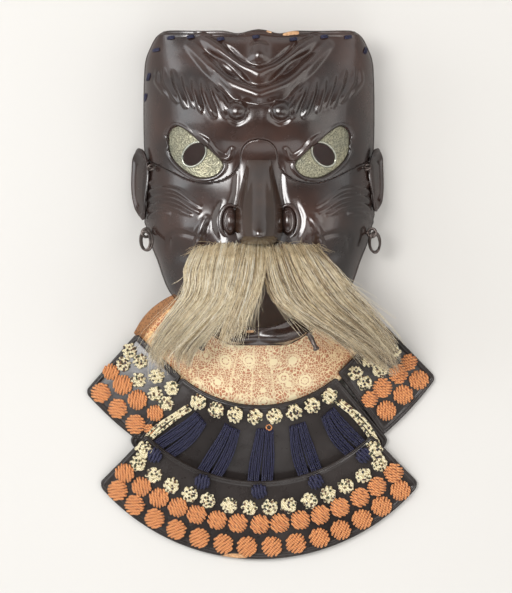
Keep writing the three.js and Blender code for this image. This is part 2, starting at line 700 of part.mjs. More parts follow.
// A cord peg: a stem through the jaw, a collar, a shaft and a knob
function pegParts(side) {
  const x = side * PEG_PLACE.x * HALF_WIDTH;
  const y = heightAt(PEG_PLACE.y);
  const foot = new THREE.Vector3(x, y, faceAt(x, y));
  const ahead = new THREE.Vector3(0.42 * side, -0.88, 0.05).normalize();
  const turn = new THREE.Matrix4().makeRotationFromQuaternion(
    new THREE.Quaternion().setFromUnitVectors(new THREE.Vector3(0, 1, 0), ahead),
  );
  turn.setPosition(foot);
  const stem = PEG_RADIUS * 0.7;
  const tail = -PLATE_WALL - PEG_TAIL;
  const profile = [
    [0, tail],
    [stem, tail],
    [stem, PEG_STAND],
    [PEG_COLLAR_RADIUS, PEG_STAND],
    [PEG_COLLAR_RADIUS, PEG_STAND + PEG_COLLAR_HEIGHT],
    [PEG_RADIUS, PEG_STAND + 1.6 * PEG_COLLAR_HEIGHT],
    [PEG_RADIUS * 0.85, PEG_LENGTH - PEG_KNOB_HEIGHT],
    [PEG_KNOB_RADIUS, PEG_LENGTH - 0.7 * PEG_KNOB_HEIGHT],
    [PEG_KNOB_RADIUS * 0.8, PEG_LENGTH],
    [0, PEG_LENGTH],
  ].map(([r, h]) => new THREE.Vector2(r, h));
  const wide = stem + CLEARANCE;
  const hole = new THREE.CylinderGeometry(wide, wide, 2 * (PEG_STAND + PLATE_WALL + PEG_TAIL), 8);
  return { peg: placed(new THREE.LatheGeometry(profile, 8), turn), hole: placed(hole, turn) };
}

// The nose's outer form, grown by a clearance, and the hollow inside it
function noseForm(grow, depthBelow) {
  const rows = spread(7, NOSE[0].down - grow / MASK_HEIGHT, NOSE[NOSE.length - 1].down + grow / MASK_HEIGHT);
  const columns = spread(8, -1, 1);
  const upper = (down, s) => {
    const place = THREE.MathUtils.clamp(down, NOSE[0].down, NOSE[NOSE.length - 1].down);
    const half = (along(NOSE, place, 'down', 'half') * NOSE_WIDTH) / 2 + grow;
    const reach = along(NOSE, place, 'down', 'reach') * NOSE_REACH + grow;
    const x = s * half;
    const y = heightAt(down);
    const arch = (1 - Math.abs(s) ** 1.9) ** 0.8;
    return [x, y, faceAt(0, y) + Math.max(NOSE_LIP, reach * arch)];
  };
  const lower = (down, s) => {
    const [x, y] = upper(down, s);
    return [x, y, faceAt(0, y) - depthBelow];
  };
  return sheetSolid(rows, columns, upper, lower);
}

function noseWing(side, grow) {
  const x = side * NOSE_WING.across * HALF_WIDTH;
  const y = heightAt(NOSE_WING.down);
  const wing = new THREE.SphereGeometry(WING_RADIUS + grow, 8, 6);
  wing.scale(1, NOSE_WING.tall, 1.5);
  wing.translate(x, y, faceAt(x, y));
  return solidOf(wing);
}

function noseOuter(grow) {
  return fused([noseForm(grow, NOSE_ROOT), noseWing(-1, grow), noseWing(1, grow)]);
}

// The throat guard
const BIB_Y = heightAt(1) + BIB_RISE;
const LOWER_Y = BIB_Y - UPPER_FOOT_RADIUS + LAME_OVERLAP + LOWER_RIM_RADIUS;

function bibPoint(radius, turn) {
  const angle = radians(turn);
  return { x: radius * Math.sin(angle), y: BIB_Y - radius * Math.cos(angle) };
}

// The underside of the upper lames at a radius and a turn from straight down
function upperHeight(radius, turn) {
  const bow = Math.max(0, Math.cos(radians(turn)));
  const share = THREE.MathUtils.clamp((radius - UPPER_RIM_RADIUS) / UPPER_LENGTH, 0, 1);
  return (1 - share) * UPPER_RIM_HEIGHT * bow ** 1.7 + share * UPPER_FOOT_HEIGHT * bow ** 2;
}

// The radius of the upper lames' top edge: an arc over the centre, then a straight line over a wing
function rimRadius(turn) {
  const angle = Math.abs(turn);
  if (angle <= UPPER_HALF_ANGLE) {
    return UPPER_RIM_RADIUS;
  }
  const start = radians(UPPER_HALF_ANGLE);
  const end = radians(WING_RIM_ANGLE);
  const inner = new THREE.Vector2(Math.sin(start), Math.cos(start)).multiplyScalar(UPPER_RIM_RADIUS);
  const outer = new THREE.Vector2(Math.sin(end), Math.cos(end)).multiplyScalar(WING_RIM_RADIUS);
  const edge = outer.sub(inner);
  const ray = new THREE.Vector2(Math.sin(radians(angle)), Math.cos(radians(angle)));
  return inner.cross(edge) / ray.cross(edge);
}

// A lame over shares u from rim to foot and v from end to end, with a raised border
function lameSolid(place, length, width, count) {
  const edgeU = LAME_RIM_WIDTH / length;
  const edgeV = LAME_RIM_WIDTH / width;
  const step = 1.3;
  const border = (edge) => [0, edge, step * edge];
  const far = (edge) => border(edge).map((t) => 1 - t).reverse();
  const us = [...border(edgeU), 0.5, ...far(edgeU)];
  const vs = [...border(edgeV), ...spread(count, 2 * step * edgeV, 1 - 2 * step * edgeV), ...far(edgeV)];
  const upper = (u, v) => {
    const [x, y, z] = place(u, v);
    const inside = Math.min(u - edgeU, 1 - edgeU - u) > 1e-6 && Math.min(v - edgeV, 1 - edgeV - v) > 1e-6;
    return [x, y, z + LAME_WALL + (inside ? 0 : LAME_RIM_RISE)];
  };
  return sheetSolid(us, vs, upper, place);
}

function centrePlace(u, v) {
  const radius = UPPER_RIM_RADIUS + u * UPPER_LENGTH;
  const gapTurn = THREE.MathUtils.radToDeg(WING_SEAM_GAP / 2 / radius);
  const turn = (2 * v - 1) * (UPPER_HALF_ANGLE - gapTurn);
  const { x, y } = bibPoint(radius, turn);
  return [x, y, upperHeight(radius, turn)];
}

function wingPlace(side) {
  const corner = (radius, turn) => {
    const { x, y } = bibPoint(radius, turn);
    return new THREE.Vector2(x, y);
  };
  const gapTurn = (radius) => THREE.MathUtils.radToDeg(WING_SEAM_GAP / 2 / radius);
  const rimInner = corner(UPPER_RIM_RADIUS, UPPER_HALF_ANGLE + gapTurn(UPPER_RIM_RADIUS));
  const footInner = corner(WING_SEAM_FOOT_RADIUS, UPPER_HALF_ANGLE + gapTurn(WING_SEAM_FOOT_RADIUS));
  const rimOuter = corner(WING_RIM_RADIUS, WING_RIM_ANGLE);
  const footOuter = corner(WING_FOOT_RADIUS, WING_FOOT_ANGLE);
  return (u, v) => {
    const inner = rimInner.clone().lerp(footInner, u);
    const outer = rimOuter.clone().lerp(footOuter, u);
    const bend = 4 * v * (1 - v);
    const spot = inner.lerp(outer, v);
    const radius = Math.hypot(spot.x, spot.y - BIB_Y);
    const turn = THREE.MathUtils.radToDeg(Math.atan2(spot.x, BIB_Y - spot.y));
    const bowed = (radius + WING_FOOT_BOW * bend * u) / radius;
    const x = spot.x * bowed;
    const y = BIB_Y + (spot.y - BIB_Y) * bowed;
    return [side * x, y, upperHeight(radius, turn)];
  };
}

// The lower lame's length from rim to foot, shorter towards its ends
function lowerLength(side) {
  return LOWER_LENGTH + (LOWER_END_LENGTH - LOWER_LENGTH) * side ** 2;
}

function lowerPlace(u, v) {
  const side = 2 * v - 1;
  const radius = LOWER_RIM_RADIUS + u * lowerLength(side);
  const angle = radians(side * LOWER_HALF_ANGLE);
  const z = (1 - u) * LOWER_RIM_HEIGHT + u * LOWER_FOOT_HEIGHT * (1 - side ** 2);
  return [radius * Math.sin(angle), LOWER_Y - radius * Math.cos(angle), z];
}

// A point on the lower lame's underside at a radius and a turn
function lowerPoint(radius, turn) {
  const side = turn / LOWER_HALF_ANGLE;
  return new THREE.Vector3(...lowerPlace((radius - LOWER_RIM_RADIUS) / lowerLength(side), (side + 1) / 2));
}

function upperPoint(radius, turn) {
  const { x, y } = bibPoint(radius, turn);
  return new THREE.Vector3(x, y, upperHeight(radius, turn));
}

// The height of a lace's middle: on the centre lame, and then below the lower lame
function laceHeight(x, y) {
  const overRadius = Math.hypot(x, y - BIB_Y);
  const overTurn = THREE.MathUtils.radToDeg(Math.atan2(x, BIB_Y - y));
  const on = upperHeight(overRadius, overTurn) + LACE_RIDE;
  const radius = Math.hypot(x, y - LOWER_Y);
  if (radius < LOWER_RIM_RADIUS - LACE_POST) {
    return on;
  }
  const turn = THREE.MathUtils.radToDeg(Math.atan2(x, LOWER_Y - y));
  return lowerPoint(Math.max(radius, LOWER_RIM_RADIUS), turn).z - CLEARANCE - LACE_THICKNESS / 2;
}

// One lace: a band on the centre lame, a post through each lame and a knot on the lower one
function laceParts({ top, foot, topWidth, footWidth, knotWidth, bow, ride }) {
  const lift = LAME_WALL + CLEARANCE + LACE_THICKNESS / 2;
  const ahead = foot.clone().sub(top).setZ(0).normalize().multiplyScalar(LACE_POST * 0.6);
  const before = top.clone().sub(ahead);
  const after = foot.clone().add(ahead);
  const route = spread(6).map((t) => {
    const spot = before.clone().lerp(after, t);
    spot.x += 4 * t * (1 - t) * bow;
    return spot.setZ(laceHeight(spot.x, spot.y));
  });
  const curve = new THREE.CatmullRomCurve3(route);
  const up = new THREE.Vector3(0, 0, 1);
  const spreadAt = (t) => Math.sin((Math.PI * Math.min(t, 0.75)) / 1.5);
  const narrow = (t) => (t > 0.75 ? 1 - 1.6 * (t - 0.75) : 1);
  const wide = (t) => (topWidth + (footWidth - topWidth) * spreadAt(t)) * narrow(t);
  const band = barSolid(curve, 5, 6, wide, () => LACE_THICKNESS, up);
  const postAt = (spot, low, high, grow) => {
    const post = roundBar(LACE_POST / 2 + grow, low, high, 6);
    post.translate(spot.x, spot.y, spot.z);
    return solidOf(post);
  };
  const knot = new THREE.SphereGeometry(knotWidth / 2, 8, 4);
  knot.scale(1, 1, 0.42);
  const knotLift = LAME_WALL + CLEARANCE + knotWidth * 0.2 + ride;
  knot.translate(foot.x, foot.y, foot.z + knotLift);
  const stopTop = -CLEARANCE - LACE_POST_TAIL + LACE_STOP_WALL / 2;
  const stop = roundBar(LACE_POST, stopTop - LACE_STOP_WALL, stopTop, 6);
  stop.translate(top.x, top.y, top.z);
  const pieces = [
    band,
    postAt(top, -CLEARANCE - LACE_POST_TAIL, lift, 0),
    postAt(foot, -CLEARANCE - LACE_THICKNESS / 2, knotLift, 0),
    solidOf(knot),
    solidOf(stop),
  ];
  return {
    lace: fused(pieces),
    topHole: postAt(top, -LACE_POST, 2 * lift, CLEARANCE),
    footHole: postAt(foot, -LACE_POST, 2 * lift, CLEARANCE),
  };
}

// How far the jaw's outline is from the throat guard's centre, at a turn from straight down
function jawRadius(turn) {
  let near = 0;
  let far = UPPER_RIM_RADIUS;
  for (let i = 0; i < 20; i++) {
    const middle = (near + far) / 2;
    const { x, y } = bibPoint(middle, turn);
    const inside = y > heightAt(1) && x < section(downAt(y)).half;
    near = inside ? middle : near;
    far = inside ? far : middle;
  }
  return near;
}

function leatherSolid() {
  const us = [...spread(3, 0, LEATHER_TUCK_SHARE), 1];
  const vs = spread(20);
  const under = (u, v) => {
    const spanned = LEATHER_INNER_ANGLE + (LEATHER_OUTER_ANGLE - LEATHER_INNER_ANGLE) * u;
    const turn = (2 * v - 1) * spanned;
    const innerTurn = Math.min(Math.abs((2 * v - 1) * LEATHER_INNER_ANGLE), LEATHER_INNER_ANGLE);
    const near = along(LEATHER_EDGE, innerTurn, 'turn', 'near') * jawRadius(innerTurn);
    const sunk = along(LEATHER_EDGE, innerTurn, 'turn', 'sunk') * LEATHER_WALL;
    const edge = bibPoint(near, innerTurn);
    const rear = section(downAt(edge.y)).edge;
    const inHollow = innerTurn < CHIN_TURN;
    const hung = inHollow ? faceAt(edge.x, edge.y) - 1.5 * PLATE_WALL : rear;
    const nearHeight = hung - sunk - CLEARANCE - LEATHER_WALL;
    const rim = rimRadius(turn) - 2 * CLEARANCE;
    const under = Math.max(0, u - LEATHER_TUCK_SHARE) / (1 - LEATHER_TUCK_SHARE);
    const open = Math.min(1, u / LEATHER_TUCK_SHARE);
    const radius = near + (rim - near) * open + LEATHER_TUCK * under;
    const laid = upperHeight(Math.max(radius, rim), turn) - 2 * CLEARANCE - LEATHER_WALL;
    const farHeight = Math.max(LEATHER_FLOOR, laid);
    const spot = bibPoint(radius, turn);
    return [spot.x, spot.y, nearHeight + (farHeight - nearHeight) * open ** 0.9];
  };
  const over = (u, v) => {
    const [x, y, z] = under(u, v);
    return [x, y, z + LEATHER_WALL];
  };
  return sheetSolid(us, vs, over, under);
}

// The moustache: locks fused to a backing on the upper lip
function moustacheSolid(locks, side) {
  const up = new THREE.Vector3(0, 0, 1);
  const pieces = locks.map((lock) => {
    const at = (k) => [lock[`x${k}`] * HALF_WIDTH, heightAt(lock[`y${k}`])];
    const [x0, y0] = at(0);
    const [x1, y1] = at(1);
    const [x2, y2] = at(2);
    const curve = new THREE.CatmullRomCurve3([
      new THREE.Vector3(x0, y0, faceAt(x0, y0) + LOCK_ROOT_RISE),
      new THREE.Vector3(0.6 * x0 + 0.4 * x1, 0.6 * y0 + 0.4 * y1, faceAt(x0, y0) + MOUSTACHE_LIFT),
      new THREE.Vector3(x1, y1, lock.middle * FACE_DEPTH),
      new THREE.Vector3(x2, y2, lock.tip * FACE_DEPTH),
    ]);
    const swell = (t) => 0.55 + 0.45 * Math.sin(Math.PI * Math.min(1, 1.6 * t) * 0.7);
    const taper = (t) => lock.size * swell(t) * (1 - 0.85 * t ** 3);
    return barSolid(curve, 5, 6, (t) => LOCK_WIDTH * taper(t), (t) => LOCK_THICKNESS * taper(t), up);
  });
  const lip = spread(5, BACKING.inner, BACKING.outer).map((share) => {
    const x = side * share * HALF_WIDTH;
    const y = heightAt(BACKING.down);
    return new THREE.Vector3(x, y, faceAt(x, y) + bulgeAt(x, y) + BACKING_RISE);
  });
  const curve = new THREE.CatmullRomCurve3(lip);
  const backing = barSolid(curve, 4, 6, () => BACKING_WIDTH, () => BACKING_THICKNESS, up);
  return fused([backing, ...pieces]);
}

function earSolid(side) {
  const top = heightAt(EAR_DOWN);
  const us = spread(8, 0.03, 0.97);
  const vs = [0, 0.4, 0.75, 0.88, 1];
  const inner = (u, v) => {
    const y = top - u * EAR_HEIGHT;
    const round = Math.sin(Math.PI * u) ** 0.55;
    const lobe = 1 - 0.35 * u;
    const z = EAR_FRONT - EAR_CORNER * (1 - round) - EAR_DEPTH * v * round * lobe;
    const x = halfAt(y, z) + CLEARANCE + RIM_RISE * v + EAR_FLARE * v ** 1.4 * round;
    return [side * x, y, z];
  };
  const outer = (u, v) => {
    const [x, y, z] = inner(u, v);
    const curl = v > 0.8 ? EAR_CURL : 0;
    return [x + side * (EAR_WALL + curl), y, z];
  };
  return sheetSolid(us, vs, outer, inner);
}

// Assembly
// The whole iron shell, before it is parted along the seam
const shell = faceForm(0).subtract(faceBlock(-PLATE_WALL, COARSE_TURNS, COARSE_DOWNS, HOLLOW_REACH));
const clearOfFace = faceForm(CLEARANCE);
const cuts = { brow: [], cheek: [] };

for (const { name, sign } of SIDES) {
  cuts.brow.push(prismSolid(outline(EYE, sign, 0), CUT_FLOOR, CUT_TOP));
  const plate = faceBlock(-EYE_SINK, COARSE_TURNS, COARSE_DOWNS, 0);
  const back = faceBlock(-EYE_SINK - EYE_PLATE_WALL, COARSE_TURNS, COARSE_DOWNS, HOLLOW_REACH);
  const window = prismSolid(outline(EYE, sign, -CLEARANCE * 1.2), CUT_FLOOR, CUT_TOP);
  const pupil = prismSolid(pupilOutline(sign), CUT_FLOOR, CUT_TOP);
  addPiece(`eye_plate_${name}`, plate.subtract(back).intersect(window).subtract(pupil), gilt);

  const { pin, hole: pinHole } = pinParts(sign);
  const { staple, ring, hole: stapleHole } = stapleParts(sign);
  const { peg, hole: pegHole } = pegParts(sign);
  cuts.cheek.push(pinHole, stapleHole, pegHole);
  cuts.brow.push(pinHole);
  addPiece(`temple_pin_${name}`, pin, iron);
  addPiece(`ring_staple_${name}`, staple, iron);
  addPiece(`cord_ring_${name}`, ring, iron);
  addPiece(`chin_peg_${name}`, peg, iron);
  addPiece(`ear_${name}`, earSolid(sign), lacquer);
}

const mouthMiddle = heightAt((MOUTH.top + MOUTH.bottom) / 2);
const mouthHalf = ((MOUTH.bottom - MOUTH.top) * MASK_HEIGHT) / 2;
const mouth = ovalOutline(0, mouthMiddle, MOUTH.half * HALF_WIDTH, mouthHalf, 0, 20);
cuts.cheek.push(prismSolid(mouth, CUT_FLOOR, CUT_TOP));
const holeMiddle = heightAt((NOSE_HOLE.top + NOSE_HOLE.bottom) / 2);
const holeHalf = ((NOSE_HOLE.bottom - NOSE_HOLE.top) * MASK_HEIGHT) / 2;
const noseHole = ovalOutline(0, holeMiddle, NOSE_HOLE.half * HALF_WIDTH, holeHalf, 0, 12);
cuts.cheek.push(prismSolid(noseHole, CUT_FLOOR, CUT_TOP));

addPiece('brow_plate', shell.intersect(browRegion(-SEAM_GAP / 2)).subtract(fused(cuts.brow)), lacquer);
addPiece('cheek_plate', shell.subtract(browRegion(SEAM_GAP / 2)).subtract(fused(cuts.cheek)), lacquer);

const noseInside = noseForm(-NOSE_WALL, HOLLOW_REACH);
addPiece('nose', noseOuter(0).subtract(noseInside).subtract(clearOfFace), noseLacquer);

const clearOfNose = noseOuter(CLEARANCE);
const keepOff = fused([clearOfFace, clearOfNose]);
addPiece('moustache_left', moustacheSolid(LEFT_LOCKS, -1).subtract(keepOff), hair);
addPiece('moustache_right', moustacheSolid(RIGHT_LOCKS, 1).subtract(keepOff), hair);
const insideForm = faceBlock(-PLATE_WALL - CLEARANCE, COARSE_TURNS, COARSE_DOWNS, HOLLOW_REACH);
addPiece('throat_leather', leatherSolid().subtract(clearOfFace.subtract(insideForm)), leather);

const laces = [];
for (let i = 0; i < LACE_COUNT; i++) {
  const place = i - (LACE_COUNT - 1) / 2;
  const share = place / (LACE_COUNT - 1);
  const top = upperPoint(UPPER_RIM_RADIUS + LACE_TOP_INSET, share * LACE_TOP_SPAN + LACE_SLANT);
  const foot = lowerPoint(LOWER_RIM_RADIUS + LACE_FOOT_INSET, share * LACE_FOOT_SPAN);
  const bow = -2 * LACE_BOW * share;
  const widths = { topWidth: LACE_TOP_WIDTH, footWidth: LACE_FOOT_WIDTH, knotWidth: LACE_KNOT_WIDTH };
  const made = laceParts({ top, foot, ...widths, bow, ride: 0 });
  laces.push({ ...made, name: `blue_lace_${i + 1}`, material: blueSilk });
}
for (const { name, sign } of SIDES) {
  const top = upperPoint(UPPER_RIM_RADIUS + END_LACE_TOP_INSET, sign * END_LACE_TOP_ANGLE + LACE_SLANT);
  const foot = lowerPoint(LOWER_RIM_RADIUS + END_LACE_FOOT_INSET, sign * END_LACE_FOOT_ANGLE);
  const widths = { topWidth: END_LACE_WIDTH, footWidth: END_LACE_WIDTH, knotWidth: END_LACE_KNOT_WIDTH };
  const made = laceParts({ top, foot, ...widths, bow: sign * LACE_BOW, ride: LAME_RIM_RISE });
  laces.push({ ...made, name: `cream_lace_${name}`, material: creamSilk });
}
for (const lace of laces) {
  addPiece(lace.name, lace.lace, lace.material);
}
const centreWidth = 2 * UPPER_RIM_RADIUS * radians(UPPER_HALF_ANGLE);
const centre = lameSolid(centrePlace, UPPER_LENGTH, centreWidth, 8);
addPiece('upper_lame_centre', centre.subtract(fused(laces.map((lace) => lace.topHole))), lameLacquer);
for (const { name, sign } of SIDES) {
  const wingWidth = WING_RIM_RADIUS * radians(WING_RIM_ANGLE - UPPER_HALF_ANGLE);
  addPiece(`upper_lame_wing_${name}`, lameSolid(wingPlace(sign), UPPER_LENGTH, wingWidth, 4), lameLacquer);
}
const lowerWidth = 2 * LOWER_RIM_RADIUS * radians(LOWER_HALF_ANGLE);
const lower = lameSolid(lowerPlace, LOWER_LENGTH, lowerWidth, 10);
addPiece('lower_lame', lower.subtract(fused(laces.map((lace) => lace.footHole))), lameLacquer);

// The origin is the middle of the bottom of the whole part's box.
const box = new THREE.Box3().setFromObject(part);
part.position.set(-(box.min.x + box.max.x) / 2, -(box.min.y + box.max.y) / 2, -box.min.z);

export default part;
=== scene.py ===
import math

import bmesh
import bpy
import numpy as np
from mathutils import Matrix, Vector


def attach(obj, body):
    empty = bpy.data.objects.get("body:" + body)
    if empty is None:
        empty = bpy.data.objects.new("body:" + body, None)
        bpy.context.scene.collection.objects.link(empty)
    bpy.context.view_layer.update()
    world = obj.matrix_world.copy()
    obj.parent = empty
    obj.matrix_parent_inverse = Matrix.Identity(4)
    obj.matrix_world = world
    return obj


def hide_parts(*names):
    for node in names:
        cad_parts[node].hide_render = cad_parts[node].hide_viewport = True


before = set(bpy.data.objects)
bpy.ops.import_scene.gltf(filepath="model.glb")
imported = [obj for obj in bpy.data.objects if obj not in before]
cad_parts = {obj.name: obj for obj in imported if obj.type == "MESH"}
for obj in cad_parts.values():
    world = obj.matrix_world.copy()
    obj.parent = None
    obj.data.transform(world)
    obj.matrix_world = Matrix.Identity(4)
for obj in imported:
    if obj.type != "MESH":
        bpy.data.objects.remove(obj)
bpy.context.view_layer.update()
chance = np.random.default_rng(7)

# Sizes in millimetres. On the face, x runs from its middle, y from its top and z up from the table
PIXEL = 0.7  # one pixel of the picture
MIDDLE, TOP = 259.0, 30.5  # the face's middle and its top, in pixels
TOP_Y = 186.25  # the face's top in the part's own frame
HALF, HEIGHT, DEPTH = 82.0, 220.0, 84.0
POWER = 2.4  # how square the face's cross sections are
FACE_ROUND = 300.0  # the face's sheet, unrolled from side to side
WALL = 2.2
SHELL = 1.6  # the iron, thinner here than the wall of its solid
GAP = 0.5  # between the two halves of the face

# Cross sections: the share of the height, then half the width, the front's depth and the side edge's depth
SECTIONS = np.array([
    (0.0, 0.79, 0.667, 0.452), (0.018, 0.865, 0.69, 0.405), (0.046, 0.918, 0.738, 0.286),
    (0.088, 0.968, 0.78, 0.155), (0.142, 0.985, 0.833, 0.048), (0.221, 0.991, 0.915, 0.0),
    (0.349, 0.988, 0.881, 0.0), (0.419, 0.978, 0.84, 0.0), (0.54, 1.0, 0.857, 0.0),
    (0.635, 0.962, 0.875, 0.0), (0.683, 0.925, 0.881, 0.0), (0.737, 0.872, 0.905, 0.071),
    (0.782, 0.825, 0.929, 0.167), (0.83, 0.761, 0.952, 0.286), (0.874, 0.66, 0.976, 0.405),
    (0.922, 0.525, 1.0, 0.536), (0.97, 0.376, 1.0, 0.655), (1.0, 0.235, 0.96, 0.738)])
# Broad swells: places across and down, widths across and down, and height as a share of BULGE_RISE
BULGE_RISE = 5.0
BULGES = [(0.36, 0.285, 0.36, 0.05, 0.75), (0.0, 0.31, 0.14, 0.08, 0.5), (0.5, 0.585, 0.24, 0.07, 0.9),
          (0.66, 0.74, 0.22, 0.06, -0.6), (0.3, 0.68, 0.2, 0.05, 0.5), (0.0, 0.09, 0.09, 0.035, 0.6)]
# The seam from the side to the nose's bridge, and the eye's opening, as shares of HALF and HEIGHT
SEAM = [(1.3, 0.392), (1.2, 0.4), (0.97, 0.413), (0.885, 0.425), (0.79, 0.443), (0.62, 0.475), (0.49, 0.489),
        (0.35, 0.485), (0.24, 0.467), (0.17, 0.435), (0.145, 0.387), (0.09, 0.36), (0.0, 0.35)]
EYE = [(0.78, 0.338), (0.735, 0.313), (0.665, 0.31), (0.575, 0.333), (0.48, 0.365), (0.37, 0.4),
       (0.305, 0.433), (0.36, 0.462), (0.45, 0.472), (0.54, 0.468), (0.64, 0.446), (0.73, 0.412),
       (0.775, 0.375)]
PUPIL_X, PUPIL_Y = 0.545, 0.398
PUPIL_LONG, PUPIL_SHORT, PUPIL_LEAN = 9.6, 7.0, 47.0

# Rolls and creases of the face: points as pixels from the middle and from the top of the picture,
# then half the width and the rise in millimetres
ROLLS = [
    ([(60, 34), (44, 49), (24, 66), (0, 78)], 6.2, 4.2), ([(70, 46), (55, 62), (29, 86), (0, 98)], 6.4, 4.4),
    ([(0, 43), (0, 57)], 8.5, 2.8), ([(62, 55), (40, 84), (22, 101)], 3.6, 1.6),
    ([(102.3, 70.5), (100.8, 82.6), (91, 96.3)], 3.0, 2.0),
    ([(95.9, 69), (92.5, 84.1), (79.6, 103.1)], 3.0, 2.1),
    ([(85.7, 72.8), (80.3, 88.7), (71.2, 108.4)], 3.1, 2.3), ([(76, 77), (70, 94), (63, 109)], 2.7, 1.9),
    ([(66, 81), (62.5, 95), (56, 113)], 2.9, 2.3), ([(56.8, 82.6), (51.5, 99.3), (43.2, 117.5)], 3.1, 2.6),
    ([(47, 87), (38.5, 103), (31.5, 117.5)], 3.1, 2.8), ([(40, 93), (31, 109), (21.5, 119)], 3.1, 2.9),
    ([(62.2, 134), (51, 142.5), (42.5, 153.6), (34.8, 159.6), (29.7, 158.8), (26.3, 151)], 2.8, 2.6),
    ([(114.3, 187), (106.6, 181)], 2.2, 1.0),
    ([(116, 199), (112.6, 193), (100.6, 189.5), (81.8, 191.2), (57, 207.5)], 2.5, 1.7),
    ([(116, 205.8), (111, 200.6), (99, 197.2), (80.1, 199.8), (57, 213.5)], 2.5, 1.8),
    ([(116, 215.2), (111, 209.2), (100.6, 205), (81.8, 208.3), (64.7, 216)], 2.5, 1.7),
    ([(116, 224), (110, 217), (100, 213), (88, 214)], 2.5, 1.2),
    ([(50, 219), (56, 236), (64, 262)], 4.6, 2.6),
    ([(0, 336.5), (24, 335.5), (45, 328.5)], 5.4, 3.4),
]
CREASES = [
    ([(33.3, 47.7), (15.1, 64.4), (0, 69.4)], 1.6, 2.0),
    ([(51, 53.8), (28.7, 67.5), (9.8, 86.4), (0, 87.2)], 1.6, 2.2),
    ([(44, 78.8), (25, 100.8), (13.6, 105.4), (0, 107)], 1.6, 1.4),
    ([(47.6, 222), (52, 234.8), (56, 250)], 1.5, 1.2),
    ([(93, 250), (90.4, 239), (84.4, 234), (73.3, 234), (61.3, 237.4), (52, 243.4)], 1.7, 1.5),
    ([(30, 120), (21, 124.5), (12, 119)], 1.6, 1.2), ([(36, 204), (41, 222), (36, 240)], 1.8, 1.2),
    ([(21, 166), (24, 200), (36, 232)], 2.0, 1.1),
]
# The eyebrow's ball, its place in pixels. Then the boss over the eye, the cheek and its hollow: place, widths
# across and down, and rise
BALL_X, BALL_Y, BALL_RADIUS, BALL_RISE = 21.2, 112.2, 6.6, 5.2
SWELLS = [(28, -76, 17, 9, 2.2), (44, -140, 17, 13, 2.2), (54, -158, 15, 10, -2.6)]
# Raised lines along an edge: height, distance from the edge and width, which are shares on the ear
FACE_RIDGES = [(0.8, 1.1, 0.9), (0.6, 3.5, 0.85)]
LAME_RIDGES = [(1.0, 0.75, 0.62), (0.8, 2.35, 0.6)]
EAR_RIDGES = [(1.3, 0.12, 0.08), (-1.0, 0.36, 0.12)]

# The lames are rings about a middle below the mouth, each with the radius of its rim and of its foot
BIB_Y, RIM_R, FOOT_R = -178.0, 85.0, 145.5
LOWER_Y, LOWER_RIM, LOWER_FOOT = -204.0, 113.0, 168.5
LAME_WALL = 2.0


# Forms of the iron face
def along(table, column, place):
    """A column of a table read smoothly between its rows, by its first column."""
    xs, ys = table[:, 0], table[:, column]
    last = len(xs) - 1
    before, after = np.maximum(np.arange(last + 1) - 1, 0), np.minimum(np.arange(last + 1) + 1, last)
    slopes = (ys[after] - ys[before]) / (xs[after] - xs[before])
    i = np.clip(np.searchsorted(xs, place, side="right") - 1, 0, last - 1)
    span = xs[i + 1] - xs[i]
    t = np.clip((place - xs[i]) / span, 0, 1)
    rise = ys[i + 1] - ys[i]
    start, end = slopes[i] * span, slopes[i + 1] * span
    return ys[i] + t * start + t * t * (3 * rise - 2 * start - end) + t**3 * (start + end - 2 * rise)


def section(down):
    """Half the width, the front's depth and the side edge's depth at a share of the height."""
    down = np.clip(down, 0, 1)
    return (along(SECTIONS, 1, down) * HALF, along(SECTIONS, 2, down) * DEPTH,
            np.maximum(0, along(SECTIONS, 3, down)) * DEPTH)


def face_at(x, y):
    half, front, edge = section(-np.asarray(y, float) / HEIGHT)
    share = np.minimum(1, np.abs(x) / half)
    return edge + (front - edge) * (1 - share**POWER) ** (1 / POWER)


def hump(x, y, at_x, at_y, wide, tall):
    return np.exp(-((x - at_x) / wide) ** 2 - ((y - at_y) / tall) ** 2)


def ridges(edge, shapes):
    return sum(high * np.exp(-((edge - at) / wide) ** 2) for high, at, wide in shapes)


def bulge_at(x, y):
    rise = np.zeros(np.broadcast(x, y).shape)
    for across, down, wide, tall, high in BULGES:
        rise += high * BULGE_RISE * hump(np.abs(x) / HALF, -y / HEIGHT, across, down, wide, tall)
    return rise


def smooth_line(points, steps=6):
    """Points along a smooth line through the given ones."""
    p = np.asarray(points, float)
    if len(p) < 3:
        t = np.linspace(0, 1, steps + 1)[:, None]
        return p[0] * (1 - t) + p[-1] * t
    ends = np.vstack([2 * p[0] - p[1], p, 2 * p[-1] - p[-2]])
    made = []
    for a, b, c, d in zip(ends[:-3], ends[1:-2], ends[2:-1], ends[3:]):
        t = np.linspace(0, 1, steps, endpoint=False)[:, None]
        bend, twist = 2 * a - 5 * b + 4 * c - d, 3 * b - a - 3 * c + d
        made.append(0.5 * (2 * b + (c - a) * t + bend * t**2 + twist * t**3))
    return np.vstack(made + [p[-1:]])


def ring_line(points, steps=8):
    """A smooth closed line through points."""
    p = np.asarray(points, float)
    wrapped = np.vstack([p[-2:], p, p[:2]])
    return smooth_line(wrapped, steps)[2 * steps:-2 * steps - 1]


def spot(dx, py):
    """Millimetres from the middle and the top, from pixels of the picture."""
    return dx * PIXEL, -(py - TOP) * PIXEL


